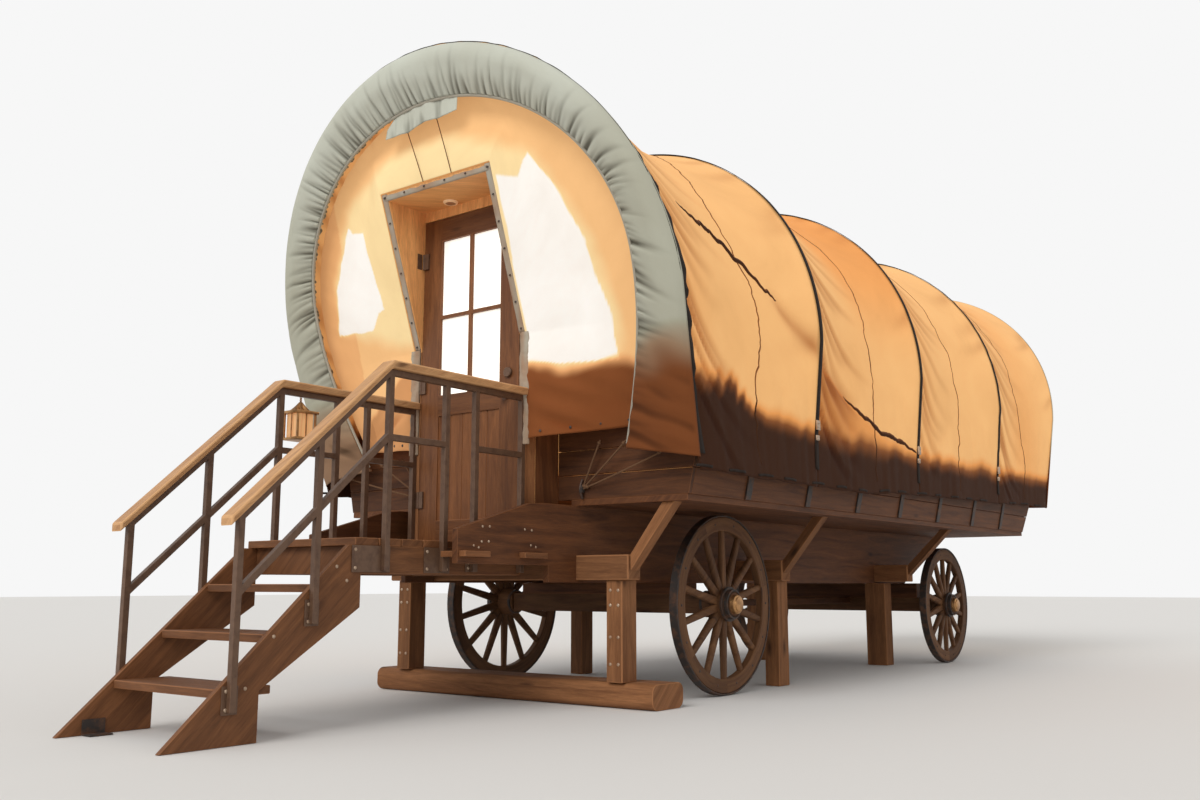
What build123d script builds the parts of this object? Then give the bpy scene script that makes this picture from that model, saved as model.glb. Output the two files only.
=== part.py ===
from build123d import *
import math
import os

os.makedirs("parts", exist_ok=True)

# A lodging covered wagon, parked on timber posts with stairs at its rear door. Lengths are
# millimetres. +X is to the right of someone facing the door, +Y runs from the door towards
# the wagon's front, +Z is up, and the ground is at z = 0. The model is drawn with y = 0 on
# the door's face, and save() moves it so that the origin is under the middle of its box.
DOOR_FACE_Y = -2350

# Lower box, which carries the aisle floor
BED_HALF = 600
BED_WALL = 38
BED_BOTTOM = 690
BED_TOP = 1130
BED_FRONT_LOW = 5060
BED_FRONT_HIGH = 5900
WING_TIP = -667
WING_LOW = 785
WING_HIGH = 962
WING_CREST = (-111, 1122)
FLOOR_TOP = 905
FLOOR_DEPTH = 60
AISLE_END = 4900
OUTRIGGERS = (-653, -192)  # rear edges of the flat timbers through the wings
OUTRIGGER = (190, 30, 820)  # width, depth, underside
OUTRIGGER_END = 42  # past the bed's side
WING_ROOT = 50  # y where the wing's underside meets the bed's end

# Upper box: a platform with flared plank sides
BOX_REAR = 300
BOX_FRONT = 6030
BOX_HALF = 1370
BOX_RIM_HALF = 1475
BOX_RIM = 1600
BOX_PLANK = 30
BOX_FLOOR = 35
PLANK_GAP = 4
FRONT_WALL_LEAN = 0.3
FRONT_WALL = 40
STAKES = (887, 1635, 2372, 3092, 3842, 4611, 5330)
STAKE = (60, 12)  # width along the box, thickness
FLARE = (BOX_RIM_HALF - BOX_HALF) / (BOX_RIM - BED_TOP)

# Canvas. A hoop plane is given by its y at the sill height and its lean. The canvas is held
# out by three hoops and by the rims of the hoods, and it sags between them.
SILL = 1400
CANVAS = 12
FLAT = 1e-6  # how far a corner may be off its face's plane
BLANK = 2000  # half width of a piece before it is cut to its outline
PANEL = 8
PANEL_GAP = 3  # between the rear panel and the door's housing
RECESS = 120
HEM = 1310
HOOD_HEM = 1340
MOUTH_BELOW = 20  # how far the mouth is cut past the hood's hem
PANEL_HEM = 1480
FRONT_PANEL_HEM = 1620
REAR_LEAN = -0.294
FRONT_LEAN = 0.25
REAR_RIM_Y = 165
FRONT_RIM_Y = 6249
RIM_HALF = 1600
RIM_RISE = 1535
RIM_SPRING = 2260
FRONT_FOOT = 1550
HOOPS = (1560, 3200, 4980)
HOOP_HALF = 1570
HOOP_SPRING = 2200
HOOP_FOOT = 1512
REAR_RIM = (RIM_HALF, RIM_RISE, RIM_SPRING, RIM_HALF)
FRONT_RIM = (RIM_HALF, RIM_RISE, RIM_SPRING, FRONT_FOOT)
HOOP = (HOOP_HALF, HOOP_HALF, HOOP_SPRING, HOOP_FOOT)
COVER = (  # y at the sill, lean; half width, rise, spring height, half width at the foot; sag
    (REAR_RIM_Y, REAR_LEAN, REAR_RIM, 180),
    (HOOPS[0], 0, HOOP, 150),
    (HOOPS[1], 0, HOOP, 120),
    (HOOPS[2], 0, HOOP, 80),
    (FRONT_RIM_Y, FRONT_LEAN, FRONT_RIM, 0),
)
SIDE_SAG = 0.55  # share of a bay's sag that is left at the spring line
BAY_STEPS = 3
CHORDS = 22
MOUTH_HALF = 1315
MOUTH_SPRING = 2431
MOUTH_CROWN = 3515
MOUTH_FOOT = 1060
BOW_DEPTH = 40
BOW_WIDTH = 60
BOW_SLACK = 16  # between a bow and the canvas
STRAP = (28, 4, 2)  # width, thickness, distance from the canvas

# Door and its housing
DOOR_WIDTH = 813
DOOR_HEIGHT = 2032
DOOR_DEPTH = 45
DOOR_SILL = 930
DOOR_GAP = 5
DOOR_STOP = 14
PIN_OUT = 12
PIN_RADIUS = 6
PIN_SIDES = 12
PIN_X = -402.5
HINGE_HEIGHTS = (1190, 1900, 2702)
HINGE_LEAF = (40, 100)  # width, height
JAMB_LEAF = (18, 3)  # width and thickness on the post, below the knee
CHEEK_LEAF = (2, 20)  # thickness, distance in front of the door's face, above the knee
LITE_HALF = 253
LITE_LOW = 1828
LITE_HIGH = 2816
MUNTIN = 22
PANEL_LOW = 1060
PANEL_HIGH = 1700
BOARDS = 5
PANEL_SINK = 10
GROOVE = (6, 5)  # width, depth
PANE = (20, 25)  # its faces' distances behind the door's face
KNOB = (306, 1779)  # x, z
KNOB_ROWS = (  # distance out from the door, radius
    (0, 32), (8, 32), (10, 11), (26, 11), (32, 22), (48, 27), (62, 24), (72, 12))
BOLT = (327, 1907)
BOLT_ROWS = ((0, 30), (14, 30), (18, 26))
KNOB_SIDES = 16
CHEEK_IN = DOOR_WIDTH / 2 + DOOR_GAP
CHEEK_OUT = 462
POST_BACK = 90
KNEE = 2120
SOFFIT = 3030
HOUSING_ROOF = 40
THRESHOLD = 150
SOFFIT_LIGHT = (48, 12)  # radius, thickness
SOFFIT_LIGHT_PLACE = (-120, -65)

# Deck, stairs and railings
DECK_FRONT = -1190
DECK_HALF = 432
DECK_BOARD = 38
DECK_BOARDS = 8
RIM_DEPTH = 137
RIM_FRONT = -1150
JOIST = 38
JOISTS = (RIM_FRONT, -600, -40)  # y of each joist's rear face
BOARD_GAP = 5
DOOR_END = -2  # y where the deck stops
STRINGER = 28
STRINGER_LOW = 570
STRINGER_HEEL = (-1700, 220)
PITCH = 0.929
TREAD = (285, 38)  # depth, thickness
TREADS = ((-1438, 681), (-1675, 461), (-1905, 238))  # front edge y, top z
FOOT_PLATE = (80, 110, 6)  # along x, along y, thickness
FOOT_BACK = 120  # from the stringer's toe
FOOT_TOP = 70
FOOT_HOLE = 7
FOOT_SPACING = 60
RAIL_X = 448
RAIL_TUBE = 32
RAIL_TOP = 1755
MID_RAIL = 1425
RAIL_CORNER = -1030
RAIL_TOE = -1866
POST_FOOT = 745
LEVEL_POSTS = (-618, -394, -16)  # y of the posts behind the corner one
STAIR_POSTS = ((-1437, 500), (-1850, 140))  # y, underside
HANDRAIL = (90, 43)  # width, depth
HANDRAIL_END = -6
HANDRAIL_TIP = -1921
BRACKETS = (  # y range, z range of each steel plate round a post's foot
    (-1213, -972, 737, 867),
    (-741, -560, 736, 867),
    (-440, -348, 745, 815),
    (-1477, -1397, 490, 610),
    (-1890, -1810, 130, 250),
)
BRACKET = 6

# Running gear
WHEEL_FACE = 957
TYRE = (60, 10)  # width, thickness
FELLOE = (52, 88)  # width, depth
SPOKES = 14
SPOKE_FOOT = (44, 52)  # across the wheel's plane, around it, at the nave
SPOKE_TIP = (34, 40)  # the same at the felloe
SPOKE_ROOT = 80  # distance of the foot from the axis
SPOKE_TENON = 12  # depth of the tip in the felloe
RIM_SIDES = 36
TYRE_SIDES = 48
TYRE_FIT = 0.2
HUB_SIDES = 16
NAVE = ((-130, 74), (-60, 96), (40, 96), (90, 80))  # x, radius
BANDS = ((-122, 84, 22), (44, 108, 16), (62, 92, 28))  # x, outer radius, width
CAP = ((90, 62), (118, 58), (124, 46), (128, 46))  # x, radius
SPINDLE = 30
HUB_FIT = 1.2
SPINDLE_END = 1008
WHEELS = (  # name, side, y, radius
    ("rear_left", -1, 1363, 557),
    ("rear_right", 1, 1363, 557),
    ("front_left", -1, 5138, 501),
    ("front_right", 1, 5138, 501),
)
AXLES = (("rear", 1363, 557), ("front", 5138, 501))  # name, y, height
AXLE_END = 790
AXLE = (100, 120)  # depth, height
BOLSTER = (120, 1400)  # depth, length
REACH = (90, 50, 510)  # width, depth, underside

# Timber supports under the box
BEAM_LOW = 703
BEAM_HIGH = FLOOR_TOP - FLOOR_DEPTH
BEAM_DEPTH = 120
POST_DEPTH = 140
SLEEPER = (300, 140, 1110)  # depth, height, half length
SLEEPER_ROUND = 48
SUPPORTS = (  # beam's rear face y, half length, then the posts' centre x, width, foot, top
    (300, 970, 857, 110, SLEEPER[1], BEAM_LOW),
    (2090, 960, 857, 110, 0, BEAM_LOW),
    (4400, 900, 590, 180, 0, BED_BOTTOM),
)
SET_BACK = 20  # of the posts and braces from the beam's rear face
BRACE_HEAD = (1190, 1270)  # x range where a knee brace meets the platform
BRACE = (90, 80)  # height at the beam, thickness
SLEEPER_SET_BACK = 30

# Lantern on the left rail
LANTERN_Y = -880
LANTERN = (130, 1475, 1635)  # width, underside, eaves
LANTERN_ROOF = (70, 24)  # height, width at its tip and the eaves' overhang
LANTERN_BASE = 16
LANTERN_POST = 12
LANTERN_GLASS = 30  # narrower than the frame
LANTERN_HOOK = (8, 1723)  # width, top


def save(name, *shapes):
    """Write the solids of one named piece, moved into the wagon's own frame."""
    solids = [solid for shape in shapes for solid in shape.solids()]
    piece = solids[0] if len(solids) == 1 else Compound(solids)
    export_step(piece.moved(Location((0, DOOR_FACE_Y, 0))), f"parts/{name}.step")


def block(x0, x1, y0, y1, z0, z1):
    """A straight-sided timber between two corners."""
    size = Box(x1 - x0, y1 - y0, z1 - z0)
    return Pos((x0 + x1) / 2, (y0 + y1) / 2, (z0 + z1) / 2) * size


def side_cut(points, x0, x1):
    """A plate whose outline is drawn in y and z, from x0 to x1."""
    outline = make_face(Polyline(*points, close=True))
    return extrude(Plane.YZ.offset(x0) * outline, amount=x1 - x0)


def end_cut(points, y0, y1):
    """A plate whose outline is drawn in x and z, from y0 to y1."""
    outline = make_face(Polyline(*points, close=True))
    return extrude(Plane.XZ.offset(-y0) * outline, amount=-(y1 - y0))


def both(shape):
    """A piece and its mirror image on the wagon's other side."""
    return [shape, mirror(shape, about=Plane.YZ)]


def flared(z):
    """Half width of the upper box at height z."""
    return BOX_HALF + (z - BED_TOP) * FLARE


def leaning(y, lean):
    """The plane of a hoop that passes y at the sill; its normal points to the rear."""
    return Plane(origin=(0, y, SILL), x_dir=(1, 0, 0), z_dir=(0, -1, lean))


def climb(z, lean):
    """Distance up a leaning plane from the sill to height z."""
    return (z - SILL) * math.hypot(1, lean)


def sheet_outline(lean, hem):
    """A wide blank on a hoop's plane, from the hem to above the crown."""
    low, top = climb(hem, lean), climb(RIM_SPRING + 2 * RIM_HALF, lean)
    corners = [(-BLANK, low), (BLANK, low), (BLANK, top), (-BLANK, top)]
    return make_face(Polyline(*corners, close=True))


def skin(rings):
    """A flat-faced solid through rings of as many points each, with plain ends."""
    faces = [Face(Wire.make_polygon(ring)) for ring in (rings[0], rings[-1])]
    for one, two in zip(rings, rings[1:]):
        for i in range(len(one)):
            a, b, c, d = one[i - 1], one[i], two[i], two[i - 1]
            if (c - a).length > (d - b).length:
                a, b, c, d = b, c, d, a
            normal = (b - a).cross(c - a)
            if abs(normal.normalized().dot(d - a)) < FLAT:
                faces.append(Face(Wire.make_polygon([a, b, c, d])))
            else:
                faces.append(Face(Wire.make_polygon([a, b, c])))
                faces.append(Face(Wire.make_polygon([a, c, d])))
    return Solid(Shell(faces))


def hoop_line(shape, hem, inset=0, sag=0):
    """Points in x and z over one hoop from its right foot to its left one."""
    half, rise, spring, foot = shape
    points = [(foot - inset, hem), (foot - inset, BOX_RIM)]
    for i in range(CHORDS + 1):
        turn = math.pi * i / CHORDS
        less = inset + sag * (SIDE_SAG + (1 - SIDE_SAG) * math.sin(turn))
        points.append(((half - less) * math.cos(turn), spring + (rise - less) * math.sin(turn)))
    return points + [(inset - foot, BOX_RIM), (inset - foot, hem)]


def arch(lean, shape, hem, inset=0):
    """The face under a hoop line, drawn on its own plane."""
    line = hoop_line(shape, hem, inset)
    return make_face(Polyline(*[(x, climb(z, lean)) for x, z in line], close=True))


def mouth(lean, hem):
    """Outline of a hood's open mouth, drawn in towards its foot."""
    shape = (MOUTH_HALF, MOUTH_CROWN - MOUTH_SPRING, MOUTH_SPRING, MOUTH_FOOT)
    line = [point for point in hoop_line(shape, hem) if point[1] != BOX_RIM]
    return make_face(Polyline(*[(x, climb(z, lean)) for x, z in line], close=True))


def turned(rows, sides):
    """A many-sided turning on the X axis through rows of x and radius."""
    rings = []
    for x, radius in rows:
        turns = [2 * math.pi * i / sides for i in range(sides)]
        rings.append([Vector(x, radius * math.cos(t), radius * math.sin(t)) for t in turns])
    return skin(rings)


def tapered(foot, tip, low, high):
    """A square-edged bar along Z that narrows from foot to tip, each given as x and y."""
    rings = []
    for (wide, deep), z in ((foot, low), (tip, high)):
        corners = ((1, 1), (-1, 1), (-1, -1), (1, -1))
        rings.append([Vector(i * wide / 2, j * deep / 2, z) for i, j in corners])
    return skin(rings)


def lower_box():
    """Sides with sloping rear wings, leaning front board, and the aisle floor."""
    inner = BED_HALF - BED_WALL
    outline = [(WING_TIP, WING_LOW), (WING_TIP, WING_HIGH), WING_CREST, (0, BED_TOP)]
    outline += [(BED_FRONT_HIGH, BED_TOP), (BED_FRONT_LOW, BED_BOTTOM)]
    outline += [(WING_ROOT, BED_BOTTOM), (WING_ROOT, WING_LOW)]
    side = side_cut(outline, inner, BED_HALF)
    for y, *_ in SUPPORTS:
        side -= block(inner, BED_HALF, y, y + BEAM_DEPTH, BEAM_LOW, BEAM_HIGH)
    width, depth, low = OUTRIGGER
    start = RAIL_X + RAIL_TUBE / 2
    outriggers = []
    for y in OUTRIGGERS:
        side -= block(inner, BED_HALF, y, y + width, low, low + depth)
        end = BED_HALF + OUTRIGGER_END
        outriggers += both(block(start, end, y, y + width, low, low + depth))
    save("bed_sides", *both(side))
    save("deck_outriggers", *outriggers)

    slope = (BED_FRONT_HIGH - BED_FRONT_LOW) / (BED_TOP - BED_BOTTOM)
    depth = BED_WALL * math.hypot(1, slope)
    front = [(BED_FRONT_LOW, BED_BOTTOM), (BED_FRONT_HIGH, BED_TOP)]
    front += [(BED_FRONT_HIGH - depth, BED_TOP), (BED_FRONT_LOW - depth, BED_BOTTOM)]
    save("bed_front_board", side_cut(front, -inner, inner))
    save("aisle_floor", block(-inner, inner, 0, AISLE_END, BEAM_HIGH, FLOOR_TOP))


def upper_box():
    """Platform round the aisle, flared plank sides and end walls."""
    inner = BED_HALF - BED_WALL
    top = BED_TOP + BOX_FLOOR
    platform = block(-BOX_HALF, BOX_HALF, BOX_REAR, BOX_FRONT, BED_TOP, top)
    platform -= block(-inner, inner, BOX_REAR, AISLE_END, BED_TOP, top)
    save("box_platform", platform)

    rise = (BOX_RIM - top) / 3
    wall_foot = BOX_FRONT - FRONT_WALL
    lean = (BOX_RIM - top) * FRONT_WALL_LEAN
    past = [(wall_foot, top), (wall_foot + lean, BOX_RIM)]
    past += [(BOX_FRONT + BLANK, BOX_RIM), (BOX_FRONT + BLANK, top)]
    past = side_cut(past, -BLANK, BLANK)
    sides, ends, fronts = [], [], []
    for row in range(3):
        low, high = top + row * rise, top + (row + 1) * rise
        if row < 2:
            high -= PLANK_GAP
        plank = [(flared(low) - BOX_PLANK, low), (flared(low), low)]
        plank += [(flared(high), high), (flared(high) - BOX_PLANK, high)]
        sides += both(end_cut(plank, BOX_REAR + BOX_PLANK, BOX_FRONT + BLANK / 2) - past)
        end = [(CHEEK_OUT, low), (flared(low), low), (flared(high), high), (CHEEK_OUT, high)]
        ends += both(end_cut(end, BOX_REAR, BOX_REAR + BOX_PLANK))
        shift = [(z - top) * FRONT_WALL_LEAN for z in (low, high)]
        wall = [(wall_foot + shift[0], low), (wall_foot + shift[1], high)]
        wall += [(BOX_FRONT + shift[1], high), (BOX_FRONT + shift[0], low)]
        outside = end_cut([(-flared(low), low), (flared(low), low),
                           (flared(high), high), (-flared(high), high)], BOX_REAR, BOX_FRONT + BLANK)
        fronts.append(side_cut(wall, -BLANK, BLANK) & outside)
    save("box_sides", *sides)
    save("box_rear_walls", *ends)
    save("box_front_wall", *fronts)

    width, thick = STAKE
    rib = [(flared(top), top), (flared(top) + thick, top)]
    rib += [(BOX_RIM_HALF + thick / 2, BOX_RIM), (BOX_RIM_HALF, BOX_RIM)]
    ribs = [both(end_cut(rib, y, y + width)) for y in STAKES]
    save("box_stakes", *[half for pair in ribs for half in pair])


def cover_lines(inset, hem):
    """Lines over the canvas from the rear rim to the front one, drawn in by inset."""
    lines = []
    for near, far in zip(COVER, COVER[1:]):
        last = far is COVER[-1]
        for step in range(BAY_STEPS + last):
            share = step / BAY_STEPS
            y, lean = [a + (b - a) * share for a, b in zip(near[:2], far[:2])]
            shape = [a + (b - a) * share for a, b in zip(near[2], far[2])]
            line = hoop_line(shape, hem, inset, 4 * near[3] * share * (1 - share))
            lines.append([Vector(x, y + lean * (z - SILL), z) for x, z in line])
    return lines


def cover():
    """Canvas over the hoops, gathered hood ends, end panels, hoops and their straps."""
    inside = cover_lines(CANVAS, HEM)
    shell = [out + back[::-1] for out, back in zip(cover_lines(0, HEM), inside)]
    save("canvas_cover", skin(shell))
    room = skin(inside)
    hoods = (("rear", REAR_RIM_Y, REAR_LEAN, REAR_RIM, CANVAS),
             ("front", FRONT_RIM_Y, FRONT_LEAN, FRONT_RIM, -CANVAS))
    for name, y, lean, rim, depth in hoods:
        band = arch(lean, rim, HOOD_HEM) - mouth(lean, HOOD_HEM - MOUTH_BELOW)
        save(f"hood_{name}", extrude(leaning(y, lean) * band, amount=depth))

    wide = CHEEK_OUT + PANEL_GAP
    roof = climb(SOFFIT + HOUSING_ROOF + PANEL_GAP, REAR_LEAN)
    gap = [(-wide, -BLANK), (wide, -BLANK), (wide, roof), (-wide, roof)]
    panel = sheet_outline(REAR_LEAN, PANEL_HEM) - make_face(Polyline(*gap, close=True))
    rear = leaning(REAR_RIM_Y + RECESS, REAR_LEAN)
    save("end_canvas_rear", extrude(rear * panel, amount=PANEL) & room)
    panel = sheet_outline(FRONT_LEAN, FRONT_PANEL_HEM)
    front = leaning(FRONT_RIM_Y - RECESS, FRONT_LEAN)
    save("end_canvas_front", extrude(front * panel, amount=-PANEL) & room)

    bows, straps = [], []
    width, thick, slack = STRAP
    reach = HOOP_HALF - CANVAS - BOW_SLACK
    shape = (reach, reach, HOOP_SPRING, BOX_RIM_HALF)
    for y in HOOPS:
        bow = [hoop_line(shape, BOX_RIM, inset)[1:-1] for inset in (0, BOW_DEPTH)]
        outside, inside = [
            make_face(Polyline(*[(x, climb(z, 0)) for x, z in line], close=True)) for line in bow]
        bows.append(extrude(leaning(y, 0) * (outside - inside), amount=BOW_WIDTH / 2, both=True))
        strap = arch(0, HOOP, HEM, -slack - thick) - arch(0, HOOP, HEM, -slack)
        straps.append(extrude(leaning(y, 0) * strap, amount=width / 2, both=True))
    save("bows", *bows)
    save("cover_straps", *straps)


def door_housing():
    """Cheeks, roof and threshold round the door, leaning out above the knee."""
    roof_z = SOFFIT + HOUSING_ROOF
    roof_y = REAR_RIM_Y + REAR_LEAN * (roof_z - SILL)
    soffit_y = roof_y - REAR_LEAN * HOUSING_ROOF
    outline = [(0, KNEE), (roof_y, roof_z), (BOX_REAR, roof_z), (BOX_REAR, FLOOR_TOP)]
    outline += [(POST_BACK, FLOOR_TOP), (POST_BACK, KNEE)]
    cheek = side_cut(outline, CHEEK_IN, CHEEK_OUT)
    housing = cheek + mirror(cheek, about=Plane.YZ)
    roof = [(roof_y, roof_z), (soffit_y, SOFFIT), (BOX_REAR, SOFFIT), (BOX_REAR, roof_z)]
    housing += side_cut(roof, -CHEEK_IN, CHEEK_IN)
    head = DOOR_SILL + DOOR_HEIGHT + DOOR_GAP
    housing += block(-CHEEK_IN, CHEEK_IN, 0, POST_BACK, head, SOFFIT)
    housing += block(-CHEEK_IN, CHEEK_IN, 0, THRESHOLD, FLOOR_TOP, DOOR_SILL - DOOR_GAP)
    stop, back = DOOR_DEPTH + DOOR_GAP, POST_BACK + DOOR_STOP
    for strip in both(block(CHEEK_IN - DOOR_STOP, CHEEK_IN, stop, back, FLOOR_TOP, head)):
        housing += strip
    housing += block(-CHEEK_IN, CHEEK_IN, stop, back, head - DOOR_STOP, head)
    save("door_housing", housing)
    save("housing_posts", *both(block(CHEEK_IN, CHEEK_OUT, 0, POST_BACK, FLOOR_TOP, KNEE)))
    radius, thick = SOFFIT_LIGHT
    light = Rot(0, 90, 0) * turned(((0, radius), (thick, radius - thick / 2)), HUB_SIDES)
    save("soffit_light", Pos(*SOFFIT_LIGHT_PLACE, SOFFIT) * light)


def door():
    """Slab with a four-pane light above a boarded panel, its hinges and furniture."""
    half = DOOR_WIDTH / 2
    top = DOOR_SILL + DOOR_HEIGHT
    middle = (LITE_LOW + LITE_HIGH) / 2
    bar = MUNTIN / 2
    slab = block(-half, half, 0, DOOR_DEPTH, DOOR_SILL, top)
    panes = []
    for x0, x1 in ((-LITE_HALF, -bar), (bar, LITE_HALF)):
        for z0, z1 in ((LITE_LOW, middle - bar), (middle + bar, LITE_HIGH)):
            slab -= block(x0, x1, 0, DOOR_DEPTH, z0, z1)
            panes.append(block(x0, x1, *PANE, z0, z1))
    slab -= block(-LITE_HALF, LITE_HALF, 0, PANEL_SINK, PANEL_LOW, PANEL_HIGH)
    pitch = 2 * LITE_HALF / BOARDS
    wide, deep = GROOVE
    for i in range(1, BOARDS):
        x = -LITE_HALF + i * pitch
        y = PANEL_SINK + deep
        slab -= block(x - wide / 2, x + wide / 2, PANEL_SINK, y, PANEL_LOW, PANEL_HIGH)
    save("door_slab", slab)
    save("door_glass", *panes)

    facing = Rot(0, 0, -90)
    hardware = []
    for (x, z), rows in ((KNOB, KNOB_ROWS), (BOLT, BOLT_ROWS)):
        hardware.append(Pos(x, 0, z) * (facing * turned(rows, KNOB_SIDES)))
    width, height = HINGE_LEAF
    jamb_leaves = []
    for z in HINGE_HEIGHTS:
        low, high = z - height / 2, z + height / 2
        barrel = turned(((-height / 2, PIN_RADIUS), (height / 2, PIN_RADIUS)), PIN_SIDES)
        barrel = Pos(PIN_X, -PIN_OUT, z) * (Rot(0, 90, 0) * barrel)
        hardware.append(barrel + block(PIN_X, PIN_X + width, -PIN_OUT, 0, low, high))
        if z < KNEE:
            wide, thick = JAMB_LEAF
            jamb_leaves.append(block(-CHEEK_IN - wide, -CHEEK_IN, -thick, 0, low, high))
        else:
            thick, ahead = CHEEK_LEAF
            y = -ahead - width
            jamb_leaves.append(block(-CHEEK_IN, -CHEEK_IN + thick, y, -ahead, low, high))
    save("door_hardware", *hardware)
    save("jamb_hinges", *jamb_leaves)


def deck_and_stairs():
    """Landing, stringers, treads and the steel plates that hold the posts and the toe."""
    under = FLOOR_TOP - DECK_BOARD
    inner = DECK_HALF - STRINGER
    run = (DOOR_END - DECK_FRONT + BOARD_GAP) / DECK_BOARDS
    boards = []
    for i in range(DECK_BOARDS):
        y = DECK_FRONT + i * run
        end = y + run - BOARD_GAP
        boards.append(block(-DECK_HALF, DECK_HALF, y, end, under, FLOOR_TOP))
    save("deck_boards", *boards)
    low = under - RIM_DEPTH
    rim = block(inner, DECK_HALF, RIM_FRONT, DOOR_END, low, under)
    frame = rim + mirror(rim, about=Plane.YZ)
    for y in JOISTS:
        frame += block(-inner, inner, y, y + JOIST, low, under)
    save("deck_frame", frame)

    nose = DECK_FRONT - DECK_BOARD / PITCH
    toe = DECK_FRONT - FLOOR_TOP / PITCH
    outline = [(toe, 0), (nose, under), (RIM_FRONT, under), (RIM_FRONT, STRINGER_LOW)]
    outline += [STRINGER_HEEL, (STRINGER_HEEL[0], 0)]
    save("stair_stringers", *both(side_cut(outline, inner, DECK_HALF)))
    depth, thick = TREAD
    save("stair_treads", *[block(-inner, inner, y, y + depth, z - thick, z) for y, z in TREADS])

    along, across, thick = FOOT_PLATE
    y = toe + FOOT_BACK
    foot = block(inner - along, inner, y, y + across, 0, thick)
    foot += block(inner - thick, inner, y, y + across, thick, FOOT_TOP)
    for shift in (-FOOT_SPACING / 2, FOOT_SPACING / 2):
        hole = Pos(inner - along / 2, y + across / 2 + shift, thick / 2)
        foot -= hole * Cylinder(FOOT_HOLE, thick)
    save("stair_feet", *both(foot))


def railing():
    """One side's steel frame: posts, level and sloping rails, all of square tube."""
    half = RAIL_TUBE / 2
    x0, x1 = RAIL_X - half, RAIL_X + half
    first, second, last = LEVEL_POSTS
    drop = (RAIL_CORNER - RAIL_TOE) * PITCH
    frame = block(x0, x1, RAIL_CORNER, 0, RAIL_TOP - RAIL_TUBE, RAIL_TOP)
    for y0, y1 in ((RAIL_CORNER, first), (second, last)):
        frame += block(x0, x1, y0, y1, MID_RAIL - RAIL_TUBE, MID_RAIL)
    tall = RAIL_TUBE * math.hypot(1, PITCH)
    for z in (RAIL_TOP, MID_RAIL):
        slope = [(RAIL_CORNER, z), (RAIL_CORNER, z - tall)]
        slope += [(RAIL_TOE, z - tall - drop), (RAIL_TOE, z - drop)]
        frame += side_cut(slope, x0, x1)
    for y in (RAIL_CORNER + half,) + LEVEL_POSTS:
        frame += block(x0, x1, y - half, y + half, POST_FOOT, RAIL_TOP)
    for y, low in STAIR_POSTS:
        high = RAIL_TOP + (y - half - RAIL_CORNER) * PITCH
        frame += block(x0, x1, y - half, y + half, low, high)
    return frame


def railings():
    """Steel frames, their wooden handrails and the plates round the posts' feet."""
    frame = railing()
    width, depth = HANDRAIL
    drop = (RAIL_CORNER - HANDRAIL_TIP) * PITCH
    top = RAIL_TOP + depth
    outline = [(HANDRAIL_END, RAIL_TOP), (HANDRAIL_END, top), (RAIL_CORNER, top)]
    outline += [(HANDRAIL_TIP, top - drop), (HANDRAIL_TIP, RAIL_TOP - drop)]
    outline += [(RAIL_CORNER, RAIL_TOP)]
    grip = side_cut(outline, RAIL_X - width / 2, RAIL_X + width / 2)
    for name, piece in (("rail_frame", frame), ("handrail", grip)):
        save(f"{name}_right", piece)
        save(f"{name}_left", mirror(piece, about=Plane.YZ))
    plates = []
    for y0, y1, z0, z1 in BRACKETS:
        plate = block(DECK_HALF, DECK_HALF + BRACKET, y0, y1, z0, z1) - frame
        plates += both(plate)
    save("post_brackets", *plates)


def lantern():
    """Box lantern with a peaked top that hangs from the left rail by its hook."""
    width, low, eaves = LANTERN
    rise, tip = LANTERN_ROOF
    rod, hook = LANTERN_HOOK
    base, post, inset = low + LANTERN_BASE, LANTERN_POST, (width - LANTERN_POST) / 2
    middle = Pos(-RAIL_X, LANTERN_Y, 0)
    frame = middle * (Pos(0, 0, (low + base) / 2) * Box(width, width, LANTERN_BASE))
    for i in (-1, 1):
        for j in (-1, 1):
            corner = Pos(i * inset, j * inset, (low + eaves) / 2)
            frame += middle * (corner * Box(post, post, eaves - low))
    top = eaves + rise
    frame += middle * tapered((width + tip, width + tip), (tip, tip), eaves, top)
    frame += middle * (Pos(0, 0, (top + hook) / 2) * Box(rod, rod, hook - top))
    save("lantern_frame", frame)
    pane = width - LANTERN_GLASS
    glass = Pos(0, 0, (base + eaves) / 2) * Box(pane, pane, eaves - base)
    save("lantern_glass", middle * glass)


def supports():
    """Sleeper, posts, cross beams and knee braces that hold the box off its wheels."""
    beams, posts, braces = [], [], []
    for y, reach, post_x, width, foot, top in SUPPORTS:
        beams.append(block(-reach, reach, y, y + BEAM_DEPTH, BEAM_LOW, BEAM_HIGH))
        left, right = post_x - width / 2, post_x + width / 2
        back = y + SET_BACK
        posts += both(block(left, right, back, back + POST_DEPTH, foot, top))
        height, thick = BRACE
        brace = [(reach, BEAM_HIGH - height), (reach, BEAM_HIGH)]
        brace += [(BRACE_HEAD[0], BED_TOP), (BRACE_HEAD[1], BED_TOP)]
        braces += both(end_cut(brace, back, back + thick))
    save("cross_beams", *beams)
    save("support_posts", *posts)
    save("knee_braces", *braces)
    depth, height, half = SLEEPER
    section = Plane.YZ.offset(-half) * RectangleRounded(depth, height, SLEEPER_ROUND)
    log = extrude(section, amount=2 * half)
    y = SUPPORTS[0][0] + SLEEPER_SET_BACK + depth / 2
    save("ground_sleeper", Pos(0, y, height / 2) * log)


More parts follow.
